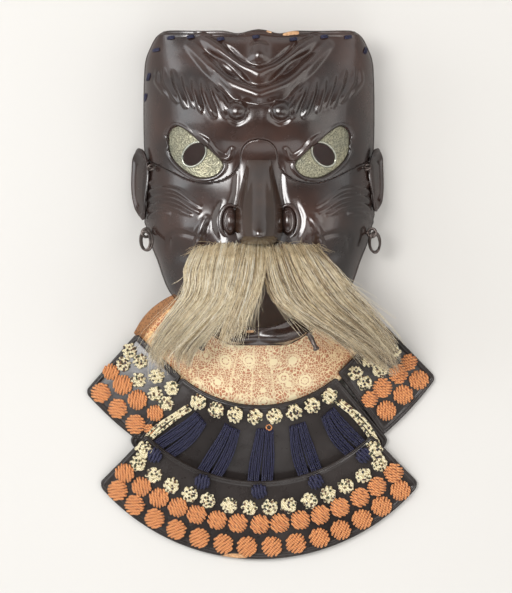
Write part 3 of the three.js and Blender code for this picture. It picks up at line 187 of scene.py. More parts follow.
def from_line(x, y, line):
    """Distance of points from a line, and the share of its length where they are nearest."""
    best, where = np.full(x.shape, 1e9), np.zeros(x.shape)
    steps = np.hypot(*np.diff(line, axis=0).T)
    total, gone = steps.sum(), 0.0
    for (ax, ay), (bx, by), length in zip(line[:-1], line[1:], steps):
        t = np.clip(((x - ax) * (bx - ax) + (y - ay) * (by - ay)) / max(length**2, 1e-9), 0, 1)
        d = np.hypot(x - ax - t * (bx - ax), y - ay - t * (by - ay))
        nearer = d < best
        best = np.where(nearer, d, best)
        where = np.where(nearer, (gone + t * length) / total, where)
        gone += length
    return best, where


EYE_LINE = ring_line([(x * HALF, -y * HEIGHT) for x, y in EYE], 4)


def beside(x, y, line, reach):
    """Which points are in the box round a line."""
    low, high = line.min(axis=0) - reach, line.max(axis=0) + reach
    return np.flatnonzero((x > low[0]) & (x < high[0]) & (y > low[1]) & (y < high[1]))


def relief(x, y):
    """Rolls and creases that the smith hammered into the face."""
    across = np.abs(x)
    rolls, creases = np.zeros(x.shape), np.zeros(x.shape)
    for points, wide, rise in ROLLS:
        line = smooth_line([spot(*p) for p in points])
        near = beside(across, y, line, 2 * wide)
        d, where = from_line(across[near], y[near], line)
        taper = np.clip((where + 0.05) / 0.4, 0, 1) ** 0.9
        if points[-1][0] > 3:  # a roll that stops short of the middle fades there too
            taper *= np.clip((1.07 - where) / 0.22, 0, 1) ** 0.6
        swell = rise * taper * np.cos(np.minimum(1, d / (wide * (0.55 + 0.45 * taper))) * math.pi / 2) ** 1.3
        rolls[near] = np.maximum(rolls[near], swell) + 0.25 * np.minimum(rolls[near], swell)
    for points, wide, rise in CREASES:
        line = smooth_line([spot(*p) for p in points])
        near = beside(across, y, line, 3 * wide)
        d, where = from_line(across[near], y[near], line)
        taper = np.clip(np.minimum(where + 0.1, 1.1 - where) / 0.3, 0, 1)
        creases[near] = np.maximum(creases[near], rise * taper * np.exp(-(d / wide) ** 2))
    near = np.flatnonzero((across > 20) & (across < 69) & (y > -107) & (y < -64))  # round the eye
    d, _ = from_line(across[near], y[near], EYE_LINE)
    rolls[near] = np.maximum(rolls[near], 1.1 * np.exp(-((d - 1.5) / 0.8) ** 2))
    ball_x, ball_y = spot(BALL_X, BALL_Y)
    ball = np.hypot(across - ball_x, y - ball_y) / BALL_RADIUS
    rolls = np.maximum(rolls, BALL_RISE * np.sqrt(np.maximum(0, 1 - ball**2)))
    raised = rolls - creases
    for at_x, at_y, wide, tall, rise in SWELLS:
        raised = raised + rise * hump(across, y, at_x, at_y, wide, tall)
    return raised


def top_edge(x):
    """How far the brow's top edge dips below its peak."""
    return 2.6 * np.exp(-((np.abs(x) - 14) / 8) ** 2) + 1.2 * np.exp(-((np.abs(x) - 38) / 22) ** 2)


def bare_face(turn, down):
    """The face without its relief: turn runs from side to side, down from the top, both from 0 to 1."""
    half, front, edge = section(down)
    angle = math.pi * (1 - turn)
    cosine, sine = np.cos(angle), np.maximum(0, np.sin(angle))
    x = half * np.sign(cosine) * np.abs(cosine) ** (2 / POWER)
    return np.stack([x, -down * HEIGHT, edge + (front - edge) * sine ** (2 / POWER)], axis=-1)


def face_point(turn, down, lift=0.0, detailed=True):
    """The face with its swells, raised along its own normal."""
    step = 0.004
    t, d = np.clip(turn, 2 * step, 1 - 2 * step), np.clip(down, step, 1 - step)
    over = bare_face(t + step, d) - bare_face(t - step, d)
    below = bare_face(t, d - step) - bare_face(t, d + step)
    normal = np.cross(over, below)
    normal[..., 2] = np.where((turn < 2 * step) | (turn > 1 - 2 * step), 0, normal[..., 2])
    normal[..., 1] = np.where((down < step) | (down > 1 - step), 0, normal[..., 1])
    normal /= np.linalg.norm(normal, axis=-1, keepdims=True)
    point = bare_face(turn, down)
    x, y = point[..., 0], point[..., 1]
    raised = bulge_at(x, y) * np.sin(math.pi * np.clip(turn, 0, 1)) ** 0.5
    if detailed:
        raised = raised + relief(x, y)
        side = np.minimum(turn, 1 - turn) * FACE_ROUND * 1.35
        edge = np.minimum(side, down * HEIGHT)
        raised += ridges(edge, FACE_RIDGES)
    point = point + normal * (raised + lift)[..., None]
    point[..., 1] -= top_edge(x) * np.clip(1 - down / 0.05, 0, 1) ** 1.5
    return point


def on_sheet(x, y):
    """Places on the face's unrolled sheet, in millimetres round and down."""
    down = np.clip(-np.asarray(y, float) / HEIGHT, 0, 1)
    half = section(down)[0]
    angle = np.arccos(np.clip(np.sign(x) * np.minimum(1, np.abs(x) / half) ** (POWER / 2), -1, 1))
    return np.stack([(1 - angle / math.pi) * FACE_ROUND, down * HEIGHT], axis=-1)


def inside(points, ring):
    """Whether each point is within a closed ring: it is where it crosses the ring an odd number of times."""
    x, y = points[:, 0], points[:, 1]
    found = np.zeros(len(points), bool)
    for (ax, ay), (bx, by) in zip(ring, np.roll(ring, -1, axis=0)):
        crosses = (ay > y) != (by > y)
        found ^= crosses & (x < (bx - ax) * (y - ay) / np.where(by == ay, 1e-12, by - ay) + ax)
    return found


def nearest(points, lines):
    """The nearest places on any of the lines, and how far they are."""
    best, made = np.full(len(points), 1e9), points.copy()
    for line in lines:
        for a, b in zip(line[:-1], line[1:]):
            t = np.clip(((points - a) @ (b - a)) / max(((b - a) ** 2).sum(), 1e-12), 0, 1)
            foot = a + t[:, None] * (b - a)
            d = np.hypot(*(points - foot).T)
            nearer = d < best
            best[nearer], made[nearer] = d[nearer], foot[nearer]
    return made, best


# Making pieces
def place_piece(name, data, material, stands_for=()):
    piece = bpy.data.objects.new(name, data)
    bpy.context.scene.collection.objects.link(piece)
    for one in material if isinstance(material, (list, tuple)) else [material]:
        data.materials.append(one)
    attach(piece, "root")
    if stands_for:
        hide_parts(*stands_for)
    return piece


def mesh_of(bm, name):
    data = bpy.data.meshes.new(name)
    bm.to_mesh(data)
    bm.free()
    return data


def metres(points):
    """Places on the face, in the part's own frame and in metres."""
    return (np.asarray(points, float) + np.array([0, TOP_Y, 0.01])) * 0.001


SNAP_REACH = 3.5


def sheet_piece(name, us, vs, place, material, stands_for=(), keep=None, snap=(), wall=0.0, marks=None):
    """A sheet over a grid of two measures. keep picks the faces, snap has the lines that its cut edges are
    pulled to, and marks says how worn the lacquer is."""
    bm = bmesh.new()
    bmesh.ops.create_grid(bm, x_segments=len(us) - 1, y_segments=len(vs) - 1, size=1)
    bm.verts.ensure_lookup_table()
    flat = (np.array([v.co[:2] for v in bm.verts]) + 1) / 2
    grid = np.stack([np.interp(flat[:, i], np.linspace(0, 1, len(steps)), steps)
                     for i, steps in enumerate((us, vs))], axis=-1)
    gone = []
    if keep is not None:
        bm.faces.ensure_lookup_table()
        corners = np.array([[c.index for c in f.verts] for f in bm.faces])
        wanted = keep(grid[corners].mean(axis=1))
        edge = np.intersect1d(corners[wanted].ravel(), corners[~wanted].ravel())
        moved, away = nearest(grid[edge], snap)
        close = away < SNAP_REACH
        grid[edge[close]] = moved[close]
        gone = [bm.faces[i] for i in np.flatnonzero(~wanted)]
    for vert, co in zip(bm.verts, metres(place(grid[:, 0], grid[:, 1]))):
        vert.co = co
    layer = bm.loops.layers.uv.new("sheet")
    for face in bm.faces:
        for corner in face.loops:
            corner[layer].uv = flat[corner.vert.index]
    if marks is not None:
        tone = bm.verts.layers.float.new("worn")
        for vert, value in zip(bm.verts, marks(grid[:, 0], grid[:, 1])):
            vert[tone] = value
    if gone:
        bmesh.ops.delete(bm, geom=gone, context="FACES")
    bm.normal_update()
    if sum(f.normal.z * f.calc_area() for f in bm.faces) < 0:
        bmesh.ops.reverse_faces(bm, faces=bm.faces[:])
    for face in bm.faces:
        face.smooth = True
    piece = place_piece(name, mesh_of(bm, name), material, stands_for)
    if wall:
        solid = piece.modifiers.new("wall", "SOLIDIFY")
        solid.thickness = wall * 0.001
        solid.offset = -1
        solid.use_rim = True
        if isinstance(material, (list, tuple)) and len(material) > 1:
            solid.material_offset = 1
    return piece


def cords(name, paths, widths, material, stands_for=(), sides=1, closed=False):
    """Round strands along lines of points, each with its own radius at every point."""
    data = bpy.data.curves.new(name, "CURVE")
    data.dimensions = "3D"
    data.bevel_depth = 0.001
    data.bevel_resolution = sides
    data.use_fill_caps = not closed
    for path, wide in zip(paths, widths):
        spline = data.splines.new("POLY")
        spline.points.add(len(path) - 1)
        spline.points.foreach_set("co", np.c_[metres(path), np.ones(len(path))].ravel())
        spline.points.foreach_set("radius", np.broadcast_to(np.asarray(wide, float), len(path)).copy())
        spline.use_cyclic_u = closed
        spline.use_smooth = True
    return place_piece(name, data, material, stands_for)


# Materials
def paint(name, **settings):
    made = bpy.data.materials.new(name)
    made.use_nodes = True
    shader = made.node_tree.nodes["Principled BSDF"]
    for key, value in settings.items():
        shader.inputs[key.replace("_", " ")].default_value = value
    return made, made.node_tree, shader


def add(tree, kind, inputs=None, **settings):
    """A node with its settings, its inputs linked to other nodes' outputs or set to values."""
    made = tree.nodes.new(kind)
    for key, value in settings.items():
        setattr(made, key, value)
    for key, value in (inputs or {}).items():
        socket = made.inputs[key]
        if isinstance(value, bpy.types.NodeSocket):
            tree.links.new(value, socket)
        else:
            socket.default_value = value
    return made


def place_of(tree, stretch=(1, 1, 1), uv=False):
    source = add(tree, "ShaderNodeTexCoord").outputs["UV" if uv else "Object"]
    made = add(tree, "ShaderNodeMapping", {"Vector": source, "Scale": stretch})
    return made.outputs["Vector"]


def grain(tree, where, scale, detail=3.0, rough=0.55, distort=0.0):
    return add(tree, "ShaderNodeTexNoise", {"Vector": where, "Scale": scale, "Detail": detail,
                                           "Roughness": rough, "Distortion": distort}).outputs["Fac"]


def cells(tree, where, scale, feature="F1", spread=1.0):
    return add(tree, "ShaderNodeTexVoronoi", {"Vector": where, "Scale": scale, "Randomness": spread},
               feature=feature).outputs


def stops(tree, value, *marks, soft="LINEAR"):
    """A ramp with its marks: each a place and a grey or a colour."""
    ramp = add(tree, "ShaderNodeValToRGB", {"Fac": value})
    ramp.color_ramp.interpolation = soft
    while len(ramp.color_ramp.elements) < len(marks):
        ramp.color_ramp.elements.new(0.5)
    for element, (at, colour) in zip(ramp.color_ramp.elements, marks):
        element.position = at
        element.color = (*colour, 1) if isinstance(colour, tuple) else (colour, colour, colour, 1)
    return ramp.outputs["Color"]


def blend(tree, share, one, other, kind="MIX"):
    one, other = ((*colour, 1) if isinstance(colour, tuple) else colour for colour in (one, other))
    mixed = add(tree, "ShaderNodeMix", {0: share, 6: one, 7: other}, data_type="RGBA", blend_type=kind)
    return mixed.outputs[2]


def maths(tree, kind, one, other=0.5):
    return add(tree, "ShaderNodeMath", {0: one, 1: other}, operation=kind).outputs[0]


def bumped(tree, shader, height, depth, strength=1.0):
    made = add(tree, "ShaderNodeBump", {"Height": height, "Distance": depth, "Strength": strength})
    tree.links.new(made.outputs["Normal"], shader.inputs["Normal"])


def lacquer(name, dark, light, low, high, wave, worn=False, coat=0.7, shine=0.5):
    """Clouded lacquer with a coat. low and high are its roughness, wave its unevenness in millimetres."""
    made, tree, shader = paint(name, Coat_Weight=coat, Coat_Roughness=0.1, IOR=1.55, Specular_IOR_Level=shine)
    where = place_of(tree)
    cloud = grain(tree, where, 22, 4)
    colour = stops(tree, cloud, (0.35, dark), (0.68, light))
    rough = stops(tree, grain(tree, where, 60, 4, 0.65), (0.3, low), (0.75, high))
    if worn:
        tone = add(tree, "ShaderNodeAttribute", attribute_name="worn").outputs["Fac"]
        ragged = maths(tree, "ADD", tone, maths(tree, "MULTIPLY", grain(tree, where, 420, 3), 0.5))
        chip = stops(tree, ragged, (0.7, 0.0), (0.76, 1.0))
        wood = stops(tree, grain(tree, where, 700, 3), (0.3, (0.42, 0.2, 0.09)), (0.7, (0.78, 0.5, 0.28)))
        colour = blend(tree, chip, colour, wood)
        rough = blend(tree, chip, rough, (0.8, 0.8, 0.8))
        left = maths(tree, "SUBTRACT", coat, maths(tree, "MULTIPLY", chip, coat))
        tree.links.new(left, shader.inputs["Coat Weight"])
    tree.links.new(colour, shader.inputs["Base Color"])
    tree.links.new(rough, shader.inputs["Roughness"])
    bumped(tree, shader, grain(tree, where, 45, 3, 0.5), wave * 0.001, 0.6)
    return made


def silk(name, low, high, thread, flecks=None, rough=0.7, sheen=0.3):
    made, tree, shader = paint(name, Roughness=rough, Sheen_Weight=sheen, Sheen_Roughness=0.4)
    where = place_of(tree)
    twist = add(tree, "ShaderNodeTexWave", {"Vector": where, "Scale": thread, "Distortion": 3.5,
                                            "Detail": 2.0, "Detail Scale": 2.0},
                wave_type="BANDS", bands_direction="DIAGONAL")
    shade = blend(tree, 0.45, twist.outputs["Fac"], grain(tree, where, 900, 3))
    colour = stops(tree, shade, (0.25, low), (0.62, high))
    if flecks:
        spots = cells(tree, place_of(tree, (1, 1, 0.6)), 430)["Distance"]
        uneven = maths(tree, "MULTIPLY", grain(tree, where, 260, 2), 0.55)
        pick = stops(tree, maths(tree, "ADD", spots, uneven), (0.66, 1.0), (0.72, 0.0))
        hue = stops(tree, grain(tree, where, 330, 1), *zip((0.42, 0.5, 0.58), flecks), soft="CONSTANT")
        colour = blend(tree, pick, colour, hue)
    tree.links.new(colour, shader.inputs["Base Color"])
    bumped(tree, shader, twist.outputs["Fac"], 0.0002, 0.7)
    return made


face_lacquer = lacquer("face_lacquer", (0.017, 0.012, 0.011), (0.054, 0.026, 0.019), 0.17, 0.32, 0.5,
                       worn=True, coat=0.3)
nose_lacquer = lacquer("nose_lacquer", (0.02, 0.012, 0.009), (0.055, 0.028, 0.017), 0.15, 0.26, 0.4, coat=0.4)
lame_lacquer = lacquer("lame_lacquer", (0.02, 0.016, 0.015), (0.04, 0.033, 0.031), 0.22, 0.36, 0.8,
                       worn=True, coat=0.06, shine=0.28)
red_lacquer = lacquer("red_inner_lacquer", (0.16, 0.012, 0.008), (0.3, 0.03, 0.018), 0.25, 0.45, 0.6)
orange_silk = silk("orange_silk", (0.36, 0.105, 0.03), (0.76, 0.33, 0.12), 300)
cream_silk = silk("cream_silk", (0.5, 0.4, 0.2), (0.9, 0.82, 0.58), 330,
                  flecks=((0.03, 0.035, 0.015), (0.16, 0.07, 0.03), (0.012, 0.01, 0.02)))
blue_silk = silk("blue_silk", (0.003, 0.003, 0.013), (0.011, 0.011, 0.05), 420, rough=0.65, sheen=0.06)


def iron_paint():
    made, tree, shader = paint("iron", Metallic=0.75)
    where = place_of(tree)
    cloud = grain(tree, where, 180, 4)
    colour = stops(tree, cloud, (0.35, (0.05, 0.035, 0.03)), (0.7, (0.2, 0.17, 0.155)))
    tree.links.new(colour, shader.inputs["Base Color"])
    tree.links.new(stops(tree, cloud, (0.3, 0.3), (0.7, 0.6)), shader.inputs["Roughness"])
    bumped(tree, shader, grain(tree, where, 900, 3), 0.0002)
    return made


def gilt_paint():
    made, tree, shader = paint("gilt_eye", Metallic=0.55)
    where = place_of(tree)
    dots = cells(tree, where, 900)["Distance"]
    patch = grain(tree, where, 70, 3)
    colour = blend(tree, patch, (0.13, 0.14, 0.12), (0.34, 0.31, 0.2))
    shade = stops(tree, dots, (0.1, 0.42), (0.65, 1.25))
    tree.links.new(blend(tree, 1.0, colour, shade, "MULTIPLY"), shader.inputs["Base Color"])
    tree.links.new(stops(tree, dots, (0.1, 0.62), (0.6, 0.38)), shader.inputs["Roughness"])
    bumped(tree, shader, dots, 0.0004, 0.9)
    return made


def rim_paint():
    made, tree, shader = paint("pupil_rim", Metallic=0.8, Roughness=0.32)
    cloud = grain(tree, place_of(tree), 300, 3)
    tree.links.new(stops(tree, cloud, (0.3, (0.28, 0.29, 0.25)), (0.7, (0.5, 0.5, 0.42))),
                   shader.inputs["Base Color"])
    return made


def hair_paint(name, low, high):
    made, tree, shader = paint(name, Roughness=0.42, Sheen_Weight=0.2)
    where = place_of(tree)
    colour = stops(tree, grain(tree, where, 240, 3, 0.7), (0.3, low), (0.7, high))
    tree.links.new(colour, shader.inputs["Base Color"])
    return made


def bed_paint():
    """Streaks along the sheet under the hairs, with painted shade darkening it at its root."""
    made, tree, shader = paint("hair_bed", Roughness=0.6)
    streaks = grain(tree, place_of(tree, (90, 5, 1), uv=True), 1.0, 5, 0.75, 0.6)
    # Painted shade where the hairs leave the face: the sheet darkens towards its root
    root = stops(tree, add(tree, "ShaderNodeSeparateXYZ", {"Vector": place_of(tree, uv=True)}).outputs["Y"],
                 (0.0, 0.35), (0.16, 1.0))
    colour = stops(tree, streaks, (0.36, (0.13, 0.095, 0.055)), (0.52, (0.42, 0.35, 0.23)),
                   (0.66, (0.74, 0.66, 0.5)))
    tree.links.new(blend(tree, 1.0, colour, root, "MULTIPLY"), shader.inputs["Base Color"])
    bumped(tree, shader, streaks, 0.0012)
    return made


def leather_paint():
    """Stencilled leather: red-brown tesserae on cream, with pale rosettes; painted shade and tan make it
    darker at the side edges.
    """
    made, tree, shader = paint("printed_leather", Roughness=0.72, Sheen_Weight=0.15)
    where = place_of(tree, (1, 1, 0.4))
    bent = add(tree, "ShaderNodeTexNoise", {"Vector": where, "Scale": 55.0, "Detail": 1.0})
    drift = add(tree, "ShaderNodeVectorMath", {0: bent.outputs["Color"], 1: (0.5, 0.5, 0.5)},
                operation="SUBTRACT")
    drift = add(tree, "ShaderNodeVectorMath", {0: drift.outputs["Vector"], "Scale": 0.012}, operation="SCALE")
    warped = add(tree, "ShaderNodeVectorMath", {0: where, 1: drift.outputs["Vector"]}, operation="ADD")
    tiles = cells(tree, warped.outputs["Vector"], 520, "DISTANCE_TO_EDGE")["Distance"]
    rosettes = cells(tree, where, 62, spread=0.7)["Distance"]
    rings = maths(tree, "SINE", maths(tree, "MULTIPLY", rosettes, 46.0))
    tile = stops(tree, tiles, (0.06, 0.0), (0.12, 1.0))
    patch = stops(tree, grain(tree, where, 160, 2), (0.28, 0.0), (0.36, 1.0))
    band = stops(tree, rings, (0.45, 0.0), (0.62, 1.0))
    flower = stops(tree, rosettes, (0.3, 1.0), (0.42, 0.0))
    between, within = maths(tree, "SUBTRACT", patch, flower), maths(tree, "MULTIPLY", band, flower)
    printed = maths(tree, "MULTIPLY", tile, maths(tree, "MAXIMUM", between, within))
    across = add(tree, "ShaderNodeSeparateXYZ", {"Vector": place_of(tree, uv=True)}).outputs["Y"]
    folds = stops(tree, across, *((fold + step, 0.0 if step == 0 else 1.0)
                                  for fold in (0.393, 0.473, 0.553) for step in (-0.005, 0, 0.005)))
    printed = maths(tree, "MULTIPLY", printed, folds)
    ground = blend(tree, grain(tree, where, 40, 3), (0.93, 0.76, 0.46), (0.95, 0.82, 0.55))
    ink = blend(tree, grain(tree, where, 120, 2), (0.45, 0.15, 0.07), (0.62, 0.29, 0.15))
    colour = blend(tree, printed, ground, ink)
    outer = maths(tree, "ABSOLUTE", maths(tree, "SUBTRACT", across, 0.5))
    strip = stops(tree, outer, (0.462, 0.0), (0.468, 1.0))
    stitched = cells(tree, place_of(tree, (1, 1, 1)), 700)["Distance"]
    tan = stops(tree, stitched, (0.1, (0.13, 0.065, 0.03)), (0.6, (0.38, 0.22, 0.11)))
    colour = blend(tree, strip, colour, tan)
    # Painted shade, tinted tan: the colour darkens towards the leather's side edges
    shade = stops(tree, outer, (0.2, 1.0), (0.47, (0.92, 0.7, 0.5)))
    tree.links.new(blend(tree, 1.0, colour, shade, "MULTIPLY"), shader.inputs["Base Color"])
    height = maths(tree, "ADD", grain(tree, where, 900, 3), maths(tree, "MULTIPLY", tiles, 1.5))
    bumped(tree, shader, height, 0.0003)
    return made


iron = iron_paint()
gilt = gilt_paint()
pupil_rim = rim_paint()
hair_tones = [hair_paint("hair_pale", (0.68, 0.56, 0.36), (0.92, 0.83, 0.62)),
              hair_paint("hair_sand", (0.44, 0.33, 0.18), (0.74, 0.59, 0.36)),
              hair_paint("hair_brown", (0.09, 0.055, 0.028), (0.28, 0.18, 0.095)),
              hair_paint("hair_white", (0.78, 0.72, 0.56), (0.95, 0.91, 0.8))]
hair_bed = bed_paint()
leather = leather_paint()


# The two halves of the iron face
def eased(low, high, count, dense):
    """Steps from low to high, closer together where dense is large."""
    fine = np.linspace(low, high, 2001)
    weight = dense(fine)
    gone = np.concatenate([[0], np.cumsum((weight[1:] + weight[:-1]) / 2)])
    return np.interp(np.linspace(0, gone[-1], count + 1), gone, fine)


def mirrored(points, sign):
    """Shares of the face as millimetres, on the side that sign gives."""
    return np.array([(sign * x * HALF, -y * HEIGHT) for x, y in points])


seam_right = smooth_line(mirrored(SEAM, 1), 8)
seam_line = np.vstack([seam_right, (seam_right * [-1, 1])[::-1][1:]])[::-1]


def seam_sheet(shift):
    """The seam on the unrolled sheet, moved up by shift."""
    line = on_sheet(seam_line[:, 0], seam_line[:, 1] + shift)
    order = np.argsort(line[:, 0], kind="stable")
    return line[order]


eye_rings = {s: on_sheet(*ring_line(mirrored(EYE, s)).T) for s in (-1, 1)}
turns = np.linspace(0, 2 * math.pi, 73)


def opening(middle, wide, tall):
    """An oval opening on the face's middle line, on the unrolled sheet; the sizes are shares."""
    return on_sheet(wide * HALF * np.cos(turns), middle + tall * HEIGHT * np.sin(turns))


mouth_ring = opening(-(0.8 + 0.945) / 2 * HEIGHT, 0.33, 0.0725)
nose_ring = opening(-0.5675 * HEIGHT, 0.14, 0.0975)


def dense_rounds(t):
    at_rim = np.exp(-(np.minimum(t, FACE_ROUND - t) / 4) ** 2)
    return 0.45 + 0.55 * np.sin(math.pi * t / FACE_ROUND) ** 1.5 + 1.2 * at_rim


rounds = eased(0, FACE_ROUND, 222, dense_rounds)
brow_seam, cheek_seam = seam_sheet(GAP / 2), seam_sheet(-GAP / 2)


def above(points, seam):
    """Down the unrolled sheet is up in its numbers."""
    return points[:, 1] < np.interp(points[:, 0], seam[:, 0], seam[:, 1])


def brow_keep(points):
    return above(points, brow_seam) & ~inside(points, eye_rings[-1]) & ~inside(points, eye_rings[1])


def cheek_keep(points):
    return ~above(points, cheek_seam) & ~inside(points, mouth_ring) & ~inside(points, nose_ring)


def iron_place(u, v):
    return face_point(u / FACE_ROUND, v / HEIGHT)


def worn_at(points, places):
    """How worn the lacquer is at points, from places in pixels of the picture with their widths."""
    tone = np.zeros(len(points))
    for dx, py, wide, tall in places:
        x, y = spot(dx, py)
        tone = np.maximum(tone, np.exp(-((points[:, 0] - x) / wide) ** 4 - ((points[:, 1] - y) / tall) ** 4))
    return tone * 0.62


def iron_chips(places):
    return lambda u, v: worn_at(bare_face(u / FACE_ROUND, v / HEIGHT), places)


closed_rings = {s: np.vstack([r, r[:1]]) for s, r in eye_rings.items()}
brow_steps = eased(0, 0.5 * HEIGHT, 142, lambda v: 1 + 2.0 * np.exp(-(v / 4) ** 2))
cheek_steps = np.linspace(0.34 * HEIGHT, HEIGHT, 176)
brow_lines, cheek_lines = [brow_seam, closed_rings[-1], closed_rings[1]], [cheek_seam, mouth_ring, nose_ring]
for name, steps, keep, lines, chipped in (
        ("brow_plate", brow_steps, brow_keep, brow_lines, [(32, 33.5, 7.5, 2.6), (10, 31.5, 2.5, 1.6)]),
        ("cheek_plate", cheek_steps, cheek_keep, cheek_lines, [(-9, 331, 3.4, 1.4)])):
    sheet_piece(name + "_iron", rounds, steps, iron_place, [face_lacquer, red_lacquer],
                [name], keep, lines, SHELL, iron_chips(chipped))

# The eyes: domed plates with a pupil hole and a bright rim round it
for side, sign in (("left", -1), ("right", 1)):
    px, py = sign * PUPIL_X * HALF, -PUPIL_Y * HEIGHT
    lean = -sign * math.radians(PUPIL_LEAN)
    long, short = PUPIL_LONG * np.cos(turns), PUPIL_SHORT * np.sin(turns)
    pupil_ring = on_sheet(px + long * math.cos(lean) - short * math.sin(lean),
                          py + long * math.sin(lean) + short * math.cos(lean))
    outer = eye_rings[sign]

    def eye_place(u, v, px=px, py=py):
        """Set back in its opening, and domed round the pupil."""
        point = bare_face(u / FACE_ROUND, v / HEIGHT)
        near = np.hypot((point[:, 0] - px) / 19, (point[:, 1] - py) / 14)
        return face_point(u / FACE_ROUND, v / HEIGHT, -2.2 + 3.4 * np.exp(-near**2), detailed=False)

    def eye_keep(points, outer=outer, pupil_ring=pupil_ring):
        return inside(points, outer) & ~inside(points, pupil_ring)

    low, high = outer.min(axis=0) - 1, outer.max(axis=0) + 1
    sheet_piece("eye_" + side, np.linspace(low[0], high[0], 90), np.linspace(low[1], high[1], 70), eye_place,
                gilt, ["eye_plate_" + side], eye_keep, [closed_rings[sign], pupil_ring], 1.4)
    brim = eye_place(pupil_ring[:-1, 0], pupil_ring[:-1, 1]) + [0, 0, 0.15]
    cords("pupil_rim_" + side, [brim], [0.75], pupil_rim, sides=3, closed=True)


# The nose: shares of the face's height, of half the nose's width and of its reach
NOSE_TOP, NOSE_TIP, NOSE_END = 0.418, 0.655, 0.685
NOSE_HALF, NOSE_REACH, TIP_ROUND = 17.5, 34, 0.06
NOSE = np.array([(NOSE_TOP, 0.48, 0.07), (0.44, 0.56, 0.16), (0.51, 0.78, 0.46), (0.57, 0.96, 0.72),
                 (0.62, 1.0, 0.92), (NOSE_TIP, 0.9, 1.0), (NOSE_END, 0.62, 0.9)])


def nose_place(s, down):
    place = np.clip(down, NOSE_TOP, NOSE_END)
    half = along(NOSE, 1, place) * NOSE_HALF
    reach = along(NOSE, 2, place) * NOSE_REACH
    x, y = s * half, -down * HEIGHT
    arch = (1 - np.minimum(1, np.abs(s)) ** 1.9) ** 0.8
    flank = 0.9 * np.exp(-((np.abs(s) - 0.66) / 0.12) ** 2) * np.clip((down - 0.43) / 0.05, 0, 1)
    z = face_at(np.zeros_like(y), y) + np.maximum(0.2, reach * arch + flank)
    return np.stack([x, y, z - 5 * np.clip((np.abs(s) - 0.97) / 0.03, 0, 1)], axis=-1)


def nose_end(s, down):
    """The nose with its tip rounded back to the face."""
    point = nose_place(s, np.minimum(down, NOSE_TIP))
    round_tip = np.clip((down - NOSE_TIP) / TIP_ROUND, 0, 1)
    root = face_at(np.zeros_like(point[:, 1]), point[:, 1])
    point[:, 2] = root - 2 + (point[:, 2] - root + 2) * np.sqrt(1 - round_tip**2)
    point[:, 1] -= 7.0 * round_tip
    point[:, 0] *= 1 - 0.28 * round_tip**2
    return point


tip_steps = NOSE_TIP + TIP_ROUND * np.sin(np.linspace(0.08, math.pi / 2, 18))
sheet_piece("nose_iron", np.linspace(-1, 1, 61), np.r_[np.linspace(NOSE_TOP, NOSE_TIP, 62), tip_steps],
            nose_end, nose_lacquer, ["nose"])


def wing_ball(name, x, y, z, sizes, material):
    bm = bmesh.new()
    bmesh.ops.create_uvsphere(bm, u_segments=32, v_segments=20, radius=0.001)
    bmesh.ops.scale(bm, vec=Vector(sizes), verts=bm.verts)
    bmesh.ops.translate(bm, vec=Vector(metres((x, y, z))), verts=bm.verts)
    for face in bm.faces:
        face.smooth = True
    return place_piece(name, mesh_of(bm, name), material)


for side, sign in (("left", -1), ("right", 1)):
    x, y = spot(sign * 28.5, 222.5)
    z = float(face_at(x, y))
    wing_ball("nostril_" + side, x, y, z + 1.0, (5.4, 10.0, 8.6), face_lacquer)
    arc = np.radians(np.linspace(60, 300, 22) if sign < 0 else np.linspace(-120, 120, 22))
    curl = np.stack([x + 7.0 * np.cos(arc), y + 11.4 * np.sin(arc), z + 1.6 + 0 * arc], axis=-1)
    inner = np.stack([x + 3.4 * np.cos(arc), y + 7.2 * np.sin(arc), z + 7.6 + 0 * arc], axis=-1)
    taper = np.sin(np.linspace(0.25, math.pi - 0.25, 22)) ** 0.5
    cords("nostril_curl_" + side, [curl, inner], [1.9 * taper, 0.7 * taper], face_lacquer,
          sides=3)


# Iron fittings
def stand(x, y, z=None):
    """A foot on the face with its across, down and outward directions."""
    half, front, edge = (float(n) for n in section(np.array(-y / HEIGHT)))
    if z is None:
        z = float(face_at(x, y))
    else:
        x = math.copysign(half * (1 - ((z - edge) / (front - edge)) ** POWER) ** (1 / POWER), x)
    out = np.array([math.copysign(abs(x / half) ** (POWER - 1) / half, x), 0,
                    ((z - edge) / (front - edge)) ** (POWER - 1) / (front - edge)])
    out /= np.linalg.norm(out)
    down = np.array([0, -1.0, 0])
    return np.array([x, y, z]), np.cross(down, out), down, out


def loop(centre, one, other, long, short):
    """An oval ring of points with its long way along one and its short way along other."""
    t = np.linspace(0, 2 * math.pi, 28, endpoint=False)
    return centre + np.outer(np.cos(t) * long, one) + np.outer(np.sin(t) * short, other)


def unit(way):
    return way / np.linalg.norm(way)


STEM_SUNK = 4.6


def stem(name, foot, out, reach, radius):
    line = np.array([foot - out * STEM_SUNK, foot + out * reach])
    cords(name, [line], [radius], iron, sides=3)


